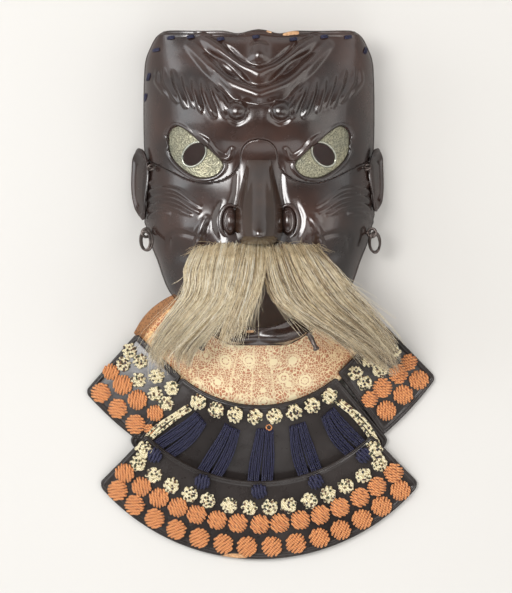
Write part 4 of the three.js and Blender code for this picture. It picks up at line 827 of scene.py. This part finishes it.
# Along the peg from its foot: the height and the radius
PEG_PROFILE = [(-4.2, 1.2), (3.6, 1.2), (3.7, 2.5), (4.8, 2.5), (5.4, 1.7), (7.5, 2.0), (9.5, 1.6),
               (14.4, 1.45), (15.2, 2.2), (16.2, 2.2), (17.0, 1.5)]
EAR_TOP, EAR_LONG, EAR_CURL = -81.5, {-1: 51, 1: 45}, {-1: 8.4, 1: 5.8}
for side, sign in (("left", -1), ("right", 1)):
    foot, across, down, out = stand(sign * 0.885 * HALF, -0.425 * HEIGHT - 2.3)
    eye = foot + out * 3.5
    tilt = down * 0.75 + across * 0.66
    cords("temple_pin_wire_" + side,
          [loop(eye, tilt, out, 2.4, 2.4), loop(eye + tilt * 0.3 + across * 1.2, across, out, 1.7, 1.7)],
          [0.75, 0.5], iron, ["temple_pin_" + side], sides=3, closed=True)
    stem("temple_pin_stem_" + side, foot, out, 1.4, 0.85)
    foot, across, down, out = stand(sign, -0.643 * HEIGHT, 28)
    centre = foot + out * 4.3
    cords("ring_staple_wire_" + side, [loop(centre, down, out, 2.9, 2.9)], [1.05], iron,
          ["ring_staple_" + side], sides=3, closed=True)
    stem("ring_staple_stem_" + side, foot, out, 1.6, 1.05)
    ahead = unit(down - across * 0.85)
    facing = out * 0.5 + np.array([0, 0, 0.8])
    facing = unit(facing - ahead * (facing @ ahead))
    broad = np.cross(ahead, facing)
    hang = centre + ahead * 8.0 + facing * 1.0
    second = hang + facing * 1.2 + broad * 0.8
    cords("cord_ring_wire_" + side,
          [loop(hang, ahead, broad, 8.4, 4.8), loop(second, ahead, broad, 8.2, 4.2)],
          [0.85, 0.8], iron, ["cord_ring_" + side], sides=3, closed=True)
    x, y = sign * 0.4 * HALF, -0.946 * HEIGHT
    ahead = unit(np.array([0.42 * sign, -0.88, 0.05]))
    foot = np.array([x, y, float(face_at(x, y))])
    cords("chin_peg_iron_" + side, [np.array([foot + ahead * h for h, _ in PEG_PROFILE])],
          [[r for _, r in PEG_PROFILE]], iron, ["chin_peg_" + side], sides=4)

    def ear_place(u, v, sign=sign):
        """A square sheet drawn in to an oval and laid out from the side of the face."""
        a, b = 2 * u - 1, 2 * v - 1
        along_ear, rearward = a * np.sqrt(1 - b**2 / 2), (b * np.sqrt(1 - a**2 / 2) + 1) / 2
        y = EAR_TOP - EAR_LONG[sign] * (along_ear + 1) / 2
        z = 32 - 27 * rearward * (1 - 0.18 * along_ear)
        spread = 1 - 0.6 * np.clip((along_ear + 0.7) / 1.7, 0, 1) ** 1.2
        curl = EAR_CURL[sign] * spread * (0.15 * rearward + 0.85 * rearward**1.5)
        helix = ridges(1 - np.maximum(np.abs(a), np.abs(b)), EAR_RIDGES)
        half, front, edge = section(-y / HEIGHT)
        side_x = half * (1 - ((z - edge) / (front - edge)) ** POWER) ** (1 / POWER)
        return np.stack([sign * (side_x + 1.9 + np.maximum(0, curl + helix)), y, z], axis=-1)

    sheet_piece("ear_iron_" + side, np.linspace(0, 1, 50), np.linspace(0, 1, 34), ear_place, face_lacquer,
                ["ear_" + side], wall=1.8)

# Blue stitches along the brow's rim, three strands each, at places in pixels
STITCHES = [(171, 38.6), (191, 38), (221, 40.7), (256, 38.6), (293, 41), (324, 38), (348, 38), (366, 50),
            (156, 50), (148, 76), (144.5, 96)]
stitches, stitch_widths = [], []
for px_x, px_y in STITCHES:
    x, y = spot(px_x - MIDDLE, px_y)
    lean = 0.15 if 150 < px_x < 360 else 1.3  # along the top or down a side
    for k in (-1, 0, 1):
        t = np.linspace(-1, 1, 7)
        sx = x + t * 2.6 * math.cos(lean) - k * 0.75 * math.sin(lean)
        sy = y + t * 2.6 * math.sin(lean) + k * 0.75 * math.cos(lean)
        sz = face_at(sx, sy) + bulge_at(sx, sy) + 0.5 + 0.7 * np.sqrt(1 - t**2)
        stitches.append(np.stack([sx, sy, sz], axis=-1))
        stitch_widths.append(0.55 * (1 - 0.5 * t**2))
cords("brow_stitches", stitches, stitch_widths, blue_silk, sides=2)


# The throat guard
def upper_height(radius, turn):
    """The upper lame climbs to the chin at its middle."""
    bow = np.maximum(0, np.cos(turn))
    share = np.clip((radius - RIM_R) / (FOOT_R - RIM_R), 0, 1)
    return (1 - share) * 22 * bow**1.7 + share * bow**2


def bib(radius, turn):
    x, y = radius * np.sin(turn), BIB_Y - radius * np.cos(turn)
    return np.stack([x, y, upper_height(radius, turn)], axis=-1)


def centre_place(u, v):
    radius = RIM_R + u * (FOOT_R - RIM_R)
    return bib(radius, (2 * v - 1) * (math.radians(40) - 0.3 / radius))


WING_CORNERS = {1: [(339, 373), (384.7, 437), (387, 326), (438.6, 379)],
                -1: [(180, 377), (141, 446), (135.6, 334), (82.5, 393)]}


def wing_place(sign):
    """Laid between the four corners of its own side, a little bowed at the foot."""
    at = [np.array(spot(sign * (x - MIDDLE), y)) - [0, BIB_Y] for x, y in WING_CORNERS[sign]]
    inner, outer = at[:2], at[2:]

    def place(u, v):
        u, v = u[:, None], v[:, None]
        flat = (inner[0] * (1 - u) + inner[1] * u) * (1 - v) + (outer[0] * (1 - u) + outer[1] * u) * v
        radius = np.hypot(*flat.T)
        flat *= ((radius + 1.6 * 4 * (v * (1 - v) * u)[:, 0]) / radius)[:, None]
        turn = np.arctan2(flat[:, 0], -flat[:, 1])
        return np.stack([sign * flat[:, 0], BIB_Y + flat[:, 1], upper_height(radius, turn)], axis=-1)
    return place


def lower_reach(side):
    """From the lower lame's rim to its foot, less at the ends."""
    return LOWER_FOOT - 6.3 * side**2 - LOWER_RIM


def lower_height(u, side):
    return (1 - u) * 10.4 + u * 3 * (1 - side**2)


def lower_place(u, v):
    side = 2 * v - 1
    radius = LOWER_RIM + u * lower_reach(side)
    turn = side * math.radians(44.7)
    return np.stack([radius * np.sin(turn), LOWER_Y - radius * np.cos(turn), lower_height(u, side)], axis=-1)


def round_corner(a, b, r):
    """Pulls the square corner of two distances from the edges in to a round one."""
    p, q = np.maximum(0, r - a), np.maximum(0, r - b)
    both = (p > 0) & (q > 0)
    pull = np.where(both, np.maximum(p, q) / np.maximum(np.hypot(p, q), 1e-9), 1)
    return np.where(both, r - p * pull, a), np.where(both, r - q * pull, b)


# Steps from the edge inwards, close together where the rim is raised
LAME_BORDER = np.array([0, 0.35, 0.7, 1.05, 1.4, 1.75, 2.1, 2.45, 2.8, 3.3, 4.2])


def lame_piece(name, place, long, wide, corners, stands_for, rows, columns, chipped=()):
    """A lacquered lame with rounded corners and a doubled raised rim."""
    def made(u, v):
        edge = np.minimum(np.minimum(u, long - u), np.minimum(v, wide - v))
        a, b = u, v
        for r, (far_a, far_b) in zip(corners, ((0, 0), (0, 1), (1, 0), (1, 1))):
            near_a, near_b = round_corner(long - a if far_a else a, wide - b if far_b else b, r)
            a, b = (long - near_a if far_a else near_a), (wide - near_b if far_b else near_b)
        point = place(a / long, b / wide)
        uneven = 0.12 * np.sin(point[:, 0] * 0.21) * np.cos(point[:, 1] * 0.17)
        point[:, 2] += LAME_WALL + ridges(edge, LAME_RIDGES) + uneven
        return point

    us = np.r_[LAME_BORDER, np.linspace(6, long - 6, rows), long - LAME_BORDER[::-1]]
    vs = np.r_[LAME_BORDER, np.linspace(6, wide - 6, columns), wide - LAME_BORDER[::-1]]
    sheet_piece(name, us, vs, made, lame_lacquer, stands_for, wall=1.9,
                marks=lambda u, v: worn_at(made(u, v), chipped))


lame_piece("upper_lame_centre_plate", centre_place, 60.5, 118.7, (2, 2, 5, 5), ["upper_lame_centre"], 26, 70)
for side, sign in (("left", -1), ("right", 1)):
    lame_piece("upper_lame_wing_plate_" + side, wing_place(sign), 50.5, 53, (1.5, 3, 2, 4),
               ["upper_lame_wing_" + side], 24, 30)
lame_piece("lower_lame_plate", lower_place, 55.5, 208, (2.5, 2.5, 5, 5), ["lower_lame"], 26, 120,
           [(-24, 559, 13.5, 2.2)])


def over_upper(x, y):
    return upper_height(np.hypot(x, y - BIB_Y), np.arctan2(np.abs(x), BIB_Y - y)) + LAME_WALL


def over_lower(x, y):
    side = np.arctan2(x, LOWER_Y - y) / math.radians(45)
    return lower_height((np.hypot(x, y - LOWER_Y) - LOWER_RIM) / lower_reach(side), side) + LAME_WALL


class Knots:
    """Silk knots, each a dome of ribs laid side by side."""

    def __init__(self):
        self.paths, self.widths = [], []

    def tie(self, x, y, base, radius, lean, ribs, rise, long=1.0, rough=0.06):
        """A knot on the surface that base gives, its ribs leaning by lean degrees."""
        lean = math.radians(lean)
        one = np.array([math.cos(lean), math.sin(lean)])
        other = np.array([-one[1], one[0]])
        step = 2 * radius / ribs
        for k in range(ribs):
            off = (k + 0.5) * step - radius
            chord = math.sqrt(max(0.05, 1 - (off / radius) ** 2)) * radius
            reach = chord * (1 + chance.uniform(-rough, rough)) * long
            q = np.linspace(-1, 1, 11)
            wave = 0.12 * step * np.sin(q * 5 + chance.uniform(0, 6))
            flat = np.outer(q * reach, one) + np.outer(off + wave, other)
            lower = (q * reach / (radius * long)) ** 2 * 0.96
            dome = np.sqrt(np.maximum(0, 1 - lower - 0.55 * (off / radius) ** 2))
            height = base(x + flat[:, 0], y + flat[:, 1]) + 0.2 + rise * dome
            self.paths.append(np.c_[x + flat[:, 0], y + flat[:, 1], height])
            self.widths.append(step * 0.53 * (1 - 0.35 * np.abs(q) ** 4) * (1 + chance.uniform(-0.06, 0.06)))

    def braid(self, x, y, base, radius, lean, rise, long=1.0):
        """Two layers of soft strands that cross, for the flecked knots."""
        self.tie(x, y, base, radius, lean, 4, rise * 0.8, long, 0.12)
        for k in (-1, 1):
            turn = math.radians(lean + 90 + 18 * k)
            one = np.array([math.cos(turn), math.sin(turn)])
            q = np.linspace(-1, 1, 9)
            off = np.array([math.cos(math.radians(lean)), math.sin(math.radians(lean))]) * k * radius * 0.42
            flat = np.outer(q * radius * 0.72, one) + off
            height = base(x + flat[:, 0], y + flat[:, 1]) + rise * (0.55 + 0.75 * np.cos(q * 1.5))
            self.paths.append(np.c_[x + flat[:, 0], y + flat[:, 1], height])
            self.widths.append(radius * 0.25 * (1 - 0.3 * q**4))

    def place(self, name, material, slot, sides=2):
        return cords(name, self.paths, self.widths, material, sides=sides)


def row_spot(middle_y, radius_px, turn):
    """A place on a lame, from its radius in pixels and its turn in degrees."""
    angle = math.radians(turn)
    return radius_px * PIXEL * math.sin(angle), middle_y - radius_px * PIXEL * math.cos(angle)


def row(count, half_turn, off):
    """The turns of a row of knots, each a little off its place."""
    for k in range(count):
        yield -half_turn + 2 * half_turn * k / (count - 1) + chance.uniform(-off, off)


# Knots in pixels of the picture: x, y, then for the orange ones their lean and whether they are small
OUTER_LEAN, INNER_LEAN = 42, 130
WING_ORANGE = [(99, 394, OUTER_LEAN, False), (116, 410, OUTER_LEAN, False), (134, 426, OUTER_LEAN, False),
               (109, 373, INNER_LEAN, True), (121, 386, INNER_LEAN, False), (136, 401, INNER_LEAN, False),
               (154, 414.5, INNER_LEAN, True), (411, 363, INNER_LEAN, True), (400, 375, INNER_LEAN, False),
               (421, 381, OUTER_LEAN, False), (384, 389, INNER_LEAN, False), (405, 396, OUTER_LEAN, False),
               (371, 400.5, INNER_LEAN, True), (388, 412, OUTER_LEAN, False)]
WING_CREAM = [(122, 365), (137, 381), (154, 395), (165.5, 404.5), (128, 351.5), (139, 362), (155.5, 377),
              (171, 389), (356.5, 374), (366, 384), (370, 361), (381, 371), (395, 353), (387, 342)]
orange, cream, blue = Knots(), Knots(), Knots()
for turn in row(14, 40, 0.3):
    orange.tie(*row_spot(LOWER_Y, 228 - 5 * (turn / 40) ** 2, turn), over_lower, 7.0,
               OUTER_LEAN + turn + chance.uniform(-6, 6), 7, 2.3)
for turn in row(15, 41.7, 0.3):
    orange.tie(*row_spot(LOWER_Y, 205, turn), over_lower, 6.7,
               INNER_LEAN + turn + chance.uniform(-6, 6), 7, 2.3)
for turn in row(14, 40.7, 0.4):
    cream.braid(*row_spot(LOWER_Y, 188, turn), over_lower, 5.3, 60 + turn + chance.uniform(-25, 25), 2.2)
for sign in (-1, 1):
    cream.braid(*row_spot(LOWER_Y, 174, sign * 42), over_lower, 5.4, 90 + sign * 42, 2.3, 1.25)
for turn in (-38, -19.5, 0, 19.5, 38):
    blue.tie(*row_spot(LOWER_Y, 171.5, turn), over_lower, 5.3, 100 + turn, 5, 2.4)
for k in range(8):
    turn = -27.4 + 8.53 * k
    cream.braid(*row_spot(BIB_Y, 133, turn), over_upper, 5.3, 130 + turn + chance.uniform(-20, 20), 2.2)
for px_x, px_y, lean, small in WING_ORANGE:
    x, y = spot(px_x - MIDDLE, px_y)
    turn = math.degrees(math.atan2(x, BIB_Y - y))
    orange.tie(x, y, over_upper, 5.6 if small else 6.8, lean + turn, 6 if small else 7, 2.2)
orange.tie(*spot(148 - MIDDLE, 431), over_upper, 3.6, 10, 4, 1.8)  # half hidden by the lower lame
for px_x, px_y in WING_CREAM:
    x, y = spot(px_x - MIDDLE, px_y)
    turn = math.degrees(math.atan2(x, BIB_Y - y))
    cream.braid(x, y, over_upper, 4.9, turn + 60 + chance.uniform(-25, 25), 2.1)
orange.place("orange_knots", orange_silk, "orange_silk")
cream.place("cream_knots", cream_silk, "cream_silk")
blue.place("blue_knots", blue_silk, "blue_silk")


# The laces from the upper lame to the lower one
def lace_height(x, y):
    """Over the upper lame, then under the rim of the lower one."""
    on = over_upper(x, y) + 0.45 + 1.5
    radius = np.hypot(x, y - LOWER_Y)
    held_x = x * np.maximum(1, LOWER_RIM / radius)
    held_y = LOWER_Y + (y - LOWER_Y) * np.maximum(1, LOWER_RIM / radius)
    under = over_lower(held_x, held_y) - LAME_WALL - 1.8
    share = np.clip((radius - (LOWER_RIM - 9)) / 6, 0, 1)
    return on * (1 - share) + under * share


def lace(top, foot, top_wide, foot_wide, bow, strands, wave=0.0, split=0.0):
    """Strands side by side from top to foot. bow bends them sideways, split parts them at the foot."""
    t = np.linspace(-0.03, 1.04, 26)
    ahead = foot - top
    across = np.array([-ahead[1], ahead[0]]) / np.hypot(*ahead)
    wide = top_wide + (foot_wide - top_wide) * np.sin(math.pi * np.clip(t, 0, 0.75) / 1.5)
    paths, widths = [], []
    for k in range(strands):
        share = (k + 0.5) / strands - 0.5
        parted = 0.09 * np.sign(share) * split * np.sin(math.pi * np.clip(t, 0, 0.8) / 1.6)
        drift = (share + parted) * wide + wave * np.sin(t * 9 + k * 2.1) * 0.35
        x = top[0] + ahead[0] * t + across[0] * drift + 4 * t * (1 - t) * bow
        y = top[1] + ahead[1] * t + across[1] * drift
        arch = 1.3 * math.sqrt(max(0, 1 - (2 * share) ** 2)) + chance.uniform(-0.3, 0.3)
        z = lace_height(x, y) - 0.6 + arch - 2.2 * np.clip((0.04 - t) / 0.07, 0, 1) ** 2
        paths.append(np.stack([x, y, z], axis=-1))
        twisted = 1 + 0.12 * np.sin(t * 60 + k)
        widths.append(wide / strands * 0.46 * twisted * np.clip((t + 0.08) / 0.08, 0.3, 1))
    return paths, widths


def on_ring(middle_y, radius, turn):
    turn = math.radians(turn)
    return np.array([radius * math.sin(turn), middle_y - radius * math.cos(turn)])


LACE_OFF = 2.4  # degrees that the laces' upper ends lie to the right
for k, place in enumerate((-2, -1, 0, 1, 2), 1):
    paths, widths = lace(on_ring(BIB_Y, 103, place * 13 + LACE_OFF), on_ring(LOWER_Y, 121.5, place * 19.2),
                         12.5, 17, -3.5 * place / 2, 12, 0.5, 0.4)
    cords("blue_lacing_%d" % k, paths, widths, blue_silk, ["blue_lace_%d" % k], sides=1)
for side, sign in (("left", -1), ("right", 1)):
    paths, widths = lace(on_ring(BIB_Y, 101, sign * 32.3 + LACE_OFF), on_ring(LOWER_Y, 125, sign * 42.8),
                         6.3, 6.3, sign * 4.5, 3, 1.0)
    cords("cream_lacing_" + side, paths, widths, cream_silk, ["cream_lace_" + side], sides=3)

# The tan edge of the small hole in the upper lame
x, y = spot(10, 428.5)
around = turns[:-1]
hole_z = over_upper(x, y) + 0.3
hole_edge = np.stack([x + 1.9 * np.cos(around), y + 1.9 * np.sin(around), hole_z + 0 * around], axis=-1)
cords("lace_eyelet", [hole_edge], [0.45], orange_silk, sides=2, closed=True)


# The printed leather
# Its inner edge, against the jaw: the turn in degrees, the radius and how far it's sunk behind the iron
LEATHER = np.array([(0, 40.38, 0.6), (12, 41.65, 0.9), (24, 44.2, 2.2), (33, 45.48, 1.5), (42, 46.75, 1),
                    (60, 51, 1), (79, 55.68, 1), (86, 60.35, 1)])
JAW_TURN, RIM_TURN = 84, 69  # half the leather's turn at its two edges
WING_START, WING_END, WING_RIM = math.radians(40), math.radians(72), 94


def rim_radius(turn):
    """The rim of the upper lame: round in the middle, straight along a wing."""
    turn = np.abs(turn)
    inner = np.array([math.sin(WING_START), math.cos(WING_START)]) * RIM_R
    outer = np.array([math.sin(WING_END), math.cos(WING_END)]) * WING_RIM
    edge = outer - inner
    ray_x, ray_y = np.sin(turn), np.cos(turn)
    chord = (inner[0] * edge[1] - inner[1] * edge[0]) / (ray_x * edge[1] - ray_y * edge[0])
    return np.where(turn <= WING_START, RIM_R, chord)


def leather_place(u, v):
    """From the jaw to under the upper lame, sagging and rippled between."""
    side = 2 * v - 1
    turn = side * np.radians(JAW_TURN + (RIM_TURN - JAW_TURN) * u)
    inner = np.degrees(np.minimum(np.abs(side) * math.radians(JAW_TURN), math.radians(JAW_TURN)))
    near, sunk = along(LEATHER, 1, inner), along(LEATHER, 2, inner)
    edge_x, edge_y = near * np.sin(np.radians(inner)), BIB_Y - near * np.cos(np.radians(inner))
    rear = section(-edge_y / HEIGHT)[2]
    under_chin = np.clip((30 - inner) / 18, 0, 1)
    hung = rear + (face_at(edge_x, edge_y) - 1.5 * WALL - rear) * under_chin**2 * (3 - 2 * under_chin)
    near_z = hung - sunk - 0.3
    rim = rim_radius(turn) - 0.6
    tucked, spread = np.maximum(0, u - 0.9) / 0.1, np.minimum(1, u / 0.9)
    radius = near + (rim - near) * spread + 4 * tucked
    far_z = np.maximum(2, upper_height(np.maximum(radius, rim), turn) - 0.6)
    z = near_z + (far_z - near_z) * spread**0.9
    waves = 0.7 * np.sin(turn * 11 + 1) + 0.4 * np.sin(turn * 23) + 0.35 * np.sin(turn * 5 + u * 9)
    x, y = radius * np.sin(turn), BIB_Y - radius * np.cos(turn)
    return np.stack([x, y, z + np.sin(math.pi * spread) * waves], axis=-1)


sheet_piece("throat_leather_print", np.linspace(0, 1, 46), np.linspace(0, 1, 180), leather_place, leather,
            ["throat_leather"], wall=1.7)

# The moustache: guides from root to tip in pixels of the picture, outer ones first, with the heights of their
# last four points
GUIDES = {
    "left": [([(198, 252), (189, 270), (188, 292), (169, 320), (156, 345), (158, 368)], (79, 66, 50, 36)),
             ([(210, 249), (203, 272), (200, 295), (181, 322), (166, 348), (166, 374)], (84, 72, 54, 37)),
             ([(223, 247), (217, 274), (212, 298), (192, 325), (175, 350), (175, 377)], (89, 77, 58, 39)),
             ([(236, 247), (230, 275), (223, 300), (203, 328), (184, 350), (183, 372)], (93, 82, 62, 42)),
             ([(248, 248), (242, 275), (233, 302), (211, 329), (195, 350), (191, 368)], (96, 87, 66, 45))],
    "right": [([(316, 252), (330, 268), (346, 288), (369, 313), (387, 340), (393, 364)], (79, 62, 45, 30)),
              ([(302, 249), (317, 272), (333, 295), (357, 320), (378, 345), (390, 369)], (84, 69, 50, 32)),
              ([(289, 248), (303, 276), (318, 300), (343, 325), (366, 348), (385, 370)], (89, 76, 57, 36)),
              ([(277, 248), (288, 279), (303, 305), (329, 327), (355, 347), (377, 366)], (93, 84, 65, 42)),
              ([(265, 250), (270, 280), (281, 303), (306, 320), (336, 336), (364, 356)], (97, 90, 74, 50))],
    "middle": [([(242, 248), (240, 272), (233, 298), (229, 318), (226, 333), (224, 344)], (97, 97, 96, 94)),
               ([(253, 248), (250, 273), (244, 298), (237, 318), (232, 336), (231, 347)], (98, 98, 97, 95)),
               ([(263, 250), (261, 274), (256, 296), (248, 316), (242, 332), (239, 341)], (98, 98, 97, 95))],
}


ROOT_LIFT, SECOND_LIFT = 4, 13


def guide_points(name):
    made = []
    for points, heights in GUIDES[name]:
        flat = np.array([spot(x - MIDDLE, y) for x, y in points])
        root = float(face_at(flat[0, 0], flat[0, 1]))
        made.append(smooth_line(np.c_[flat, [root + ROOT_LIFT, root + SECOND_LIFT, *heights]], 8))
    return np.array(made)


hair_guides = {name: guide_points(name) for name in GUIDES}


def hair_line(name, share, at):
    """Points between the guides: share runs from the outer to the inner one, at from root to tip."""
    guides = hair_guides[name]
    p, q = np.asarray(share) * (len(guides) - 1), np.asarray(at) * (guides.shape[1] - 1)
    i, j = np.clip(p.astype(int), 0, len(guides) - 2), np.clip(q.astype(int), 0, guides.shape[1] - 2)
    p, q = (p - i)[..., None], (q - j)[..., None]
    return ((guides[i, j] * (1 - p) + guides[i + 1, j] * p) * (1 - q)
            + (guides[i, j + 1] * (1 - p) + guides[i + 1, j + 1] * p) * q)


TONE_NAMES = ("pale", "sand", "brown", "white")
# Tone shares for hairs low in the lock: darker as painted shade, and for some dark hairs at random
DARK_AND_SHADED_TONES = [0.16, 0.34, 0.47, 0.03]
HAIR_STEPS = np.linspace(0, 1, 9)


def lock_of(name, count, tones, thick, clump_count):
    """Hairs in clumps that draw together towards their tips, sorted by tone, the low ones darker as painted
    shade.
    """
    clumps = [(share, chance.uniform(0, 6), chance.uniform(0.5, 1.0), chance.normal(0, 3.2),
               chance.normal(0.95, 0.09))
              for share in np.linspace(0.02, 0.98, clump_count) + chance.normal(0, 0.02, clump_count)]
    made = {k: ([], []) for k in range(len(TONE_NAMES))}
    t = HAIR_STEPS
    for n in range(count):
        centre, phase, sway, swing, reach = clumps[n % clump_count]
        apart = chance.normal(0, 1.25 / clump_count)
        length = np.clip(reach - abs(chance.normal(0, 0.18)), 0.4, 1.1)
        wispy = chance.random() < 0.2
        share = centre + apart * (1.3 - (0.2 if wispy else 0.95) * t**1.3)
        line = hair_line(name, np.clip(share, -0.04, 1.04), t * length)
        curl = 0.45 * np.sin(t * 12 + chance.uniform(0, 6))
        wave = sway * 1.2 * np.sin(t * 6.5 + phase) + curl + swing * t**2.5
        own = chance.normal(0, 4.2 if wispy else 0.9) * t**2 + chance.normal(0, 0.8)
        line[:, 0] += wave * t**0.7 + own
        line[:, 1] += 0.4 * wave * t + 0.3 * own + chance.normal(0, 1.3) * (1 - t) ** 3
        level = chance.uniform(-1, 1)
        crown = math.sqrt(max(0.0, 1 - (2 * min(max(centre + apart, 0), 1) - 1) ** 2))
        body = thick * (0.35 + 0.65 * crown) * np.sin(math.pi * np.clip(0.12 + 0.83 * t, 0, 1))
        line[:, 2] += (level + 0.35) * body + (2.0 * t**2 if wispy else 0)
        # Hairs that lie low take darker tones as painted shade under the hairs above; a few others are dark
        # at random
        low = level < -0.25 or chance.random() < 0.12
        tone = chance.choice(len(TONE_NAMES), p=DARK_AND_SHADED_TONES if low else tones)
        made[tone][0].append(line)
        made[tone][1].append(chance.uniform(0.095, 0.175) * (1 - 0.7 * t**2))
    return made


def bed_place(name, thick):
    """The backing that fills the lock under its hairs."""
    def place(u, v):
        point = hair_line(name, u, v)
        round_edge = 1.0 + 2.0 * np.abs(2 * u - 1) ** 3
        point[:, 2] -= round_edge - 0.3 * thick * np.sin(math.pi * u) + 5 * np.clip(v - 0.45, 0, 1)
        return point
    return place


few = 1.0
for name, count, thick, clumps, tones in (("left", 2350, 4.4, 15, [0.46, 0.27, 0.06, 0.21]),
                                          ("middle", 850, 2.6, 7, [0.4, 0.34, 0.12, 0.14]),
                                          ("right", 2700, 4.4, 17, [0.34, 0.34, 0.24, 0.08])):
    replaced = [] if name == "middle" else ["moustache_" + name]
    sheet_piece("hair_bed_" + name, np.linspace(0.14, 0.86, 24), np.linspace(0, 0.58, 50),
                bed_place(name, thick), hair_bed, replaced, wall=2.0)
    for tone, (paths, widths) in lock_of(name, int(count * few), tones, thick, clumps).items():
        cords("hair_%s_%s" % (name, TONE_NAMES[tone]), paths, widths, hair_tones[tone], sides=0)

# Stray hairs that curl out of the moustache and short ones at its root
t = HAIR_STEPS
strays, roots = [], []
for n in range(480):
    name = ("left", "right", "middle")[n % 3]
    share = (chance.uniform(-0.03, 0.12), chance.uniform(0.88, 1.03), chance.uniform(0, 1))[n // 3 % 3]
    line = hair_line(name, np.full(len(t), share), t * chance.uniform(0.35, 1.0))
    line += np.outer(t**2, chance.normal(0, 1, 3) * [6, 6, 2.5])
    line += np.outer(np.sin(t * chance.uniform(4, 9)) * t, chance.normal(0, 1.8, 3) * [1, 1, 0.5])
    iron_z = face_at(line[:, 0], np.maximum(line[:, 1], -HEIGHT)) * (line[:, 1] > -200)
    line[:, 2] = np.maximum(line[:, 2] + 1.5, iron_z + 2)
    strays.append(line)
for n in range(420):
    x, y = spot(chance.uniform(-64, 60), chance.uniform(243, 254))
    ahead = math.atan2(-1, np.sign(x) * 0.55 + x * 0.008) + chance.normal(0, 0.75)
    reach = chance.uniform(4, 12)
    hair_x, hair_y = x + reach * np.cos(ahead) * t, y + reach * np.sin(ahead) * t - 2 * t**2
    iron_z = face_at(hair_x, hair_y) + bulge_at(hair_x, hair_y)
    roots.append(np.stack([hair_x, hair_y, iron_z + 2.5 + 8 * np.sin(t * 2.2)], axis=-1))
cords("stray_hairs", strays, [0.11 * (1 - 0.5 * t)] * len(strays), hair_tones[0], sides=0)
cords("root_hairs", roots, [0.1 * (1 - 0.5 * t)] * len(roots), hair_tones[1], sides=0)


# The floor, the lights and the camera
def floor_piece():
    """Pale paper, dimmer in reflections so that the lacquer's steep sides stay dark."""
    bm = bmesh.new()
    bmesh.ops.create_grid(bm, x_segments=1, y_segments=1, size=3)
    data = mesh_of(bm, "floor")
    made, tree, shader = paint("floor_paper", Roughness=0.9)
    cloud = grain(tree, place_of(tree), 3, 2)
    paper = stops(tree, cloud, (0.3, (0.705, 0.688, 0.662)), (0.7, (0.718, 0.701, 0.676)))
    mirrored_ray = add(tree, "ShaderNodeLightPath").outputs["Is Glossy Ray"]
    tree.links.new(blend(tree, mirrored_ray, paper, (0.3, 0.29, 0.28)), shader.inputs["Base Color"])
    data.materials.append(made)
    floor = bpy.data.objects.new("floor", data)
    bpy.context.scene.collection.objects.link(floor)


AIM = Vector((0, 0.03, 0.04))


def lamp(name, place, size, power, colour=(1, 1, 1), long=None):
    data = bpy.data.lights.new(name, "AREA")
    data.shape = "RECTANGLE"
    data.size, data.size_y = size, long or size
    data.energy, data.color = power, colour
    made = bpy.data.objects.new(name, data)
    bpy.context.scene.collection.objects.link(made)
    made.location = place
    made.rotation_mode = "QUATERNION"
    made.rotation_quaternion = (AIM - Vector(place)).to_track_quat("-Z", "Y")


floor_piece()
lamp("window", (-0.75, 0.35, 1.6), 0.5, 16, (1.0, 0.99, 0.97), 0.8)
lamp("side_wall", (-2.2, 0.2, 1.1), 1.6, 19, (0.93, 0.97, 1.0))
lamp("far_wall", (2.3, -0.2, 1.3), 1.8, 12, (1.0, 0.96, 0.9))
lamp("right_ceiling", (1.05, 0.25, 2.0), 1.1, 12, (1.0, 0.99, 0.96), 1.6)
lamp("foot_wall", (0.2, -2.3, 1.4), 1.8, 14)
world = bpy.data.worlds.new("studio")
world.use_nodes = True
sky = world.node_tree
direction = add(sky, "ShaderNodeTexCoord").outputs["Generated"]
height = add(sky, "ShaderNodeSeparateXYZ", {"Vector": direction}).outputs["Z"]
dome = stops(sky, height, (0.0, 1.5), (0.3, 1.2), (0.75, 0.25), (1.0, 0.06), soft="EASE")
# A soft bright patch where the window is
from_window = add(sky, "ShaderNodeVectorMath", {0: direction, 1: (-0.4, 0.16, 0.9)}, operation="DOT_PRODUCT")
patch = stops(sky, from_window.outputs["Value"], (0.935, 0.0), (0.985, 1.0), soft="EASE")
dome = blend(sky, 1.0, dome, maths(sky, "MULTIPLY", patch, 11.0), "ADD")
# Only reflections see the dome. All else is lit by an even grey
mirrored_ray = add(sky, "ShaderNodeLightPath").outputs["Is Glossy Ray"]
sky.links.new(blend(sky, mirrored_ray, (0.56, 0.555, 0.55), dome), sky.nodes["Background"].inputs["Color"])
sky.nodes["Background"].inputs["Strength"].default_value = 0.8
bpy.context.scene.world = world

CAMERA_HEIGHT = 2.8
PICTURE_TALL, SENSOR, OBJECT_TOP = 0.4151, 36, 0.04  # metres, millimetres, metres
eye = bpy.data.cameras.new("camera")
eye.lens = SENSOR * (CAMERA_HEIGHT - OBJECT_TOP) / PICTURE_TALL
eye.clip_start, eye.clip_end = 0.1, 20
camera = bpy.data.objects.new("camera", eye)
bpy.context.scene.collection.objects.link(camera)
camera.location = (-0.0021, 0.0, CAMERA_HEIGHT)
bpy.context.scene.camera = camera
bpy.context.scene.view_settings.view_transform = "Standard"
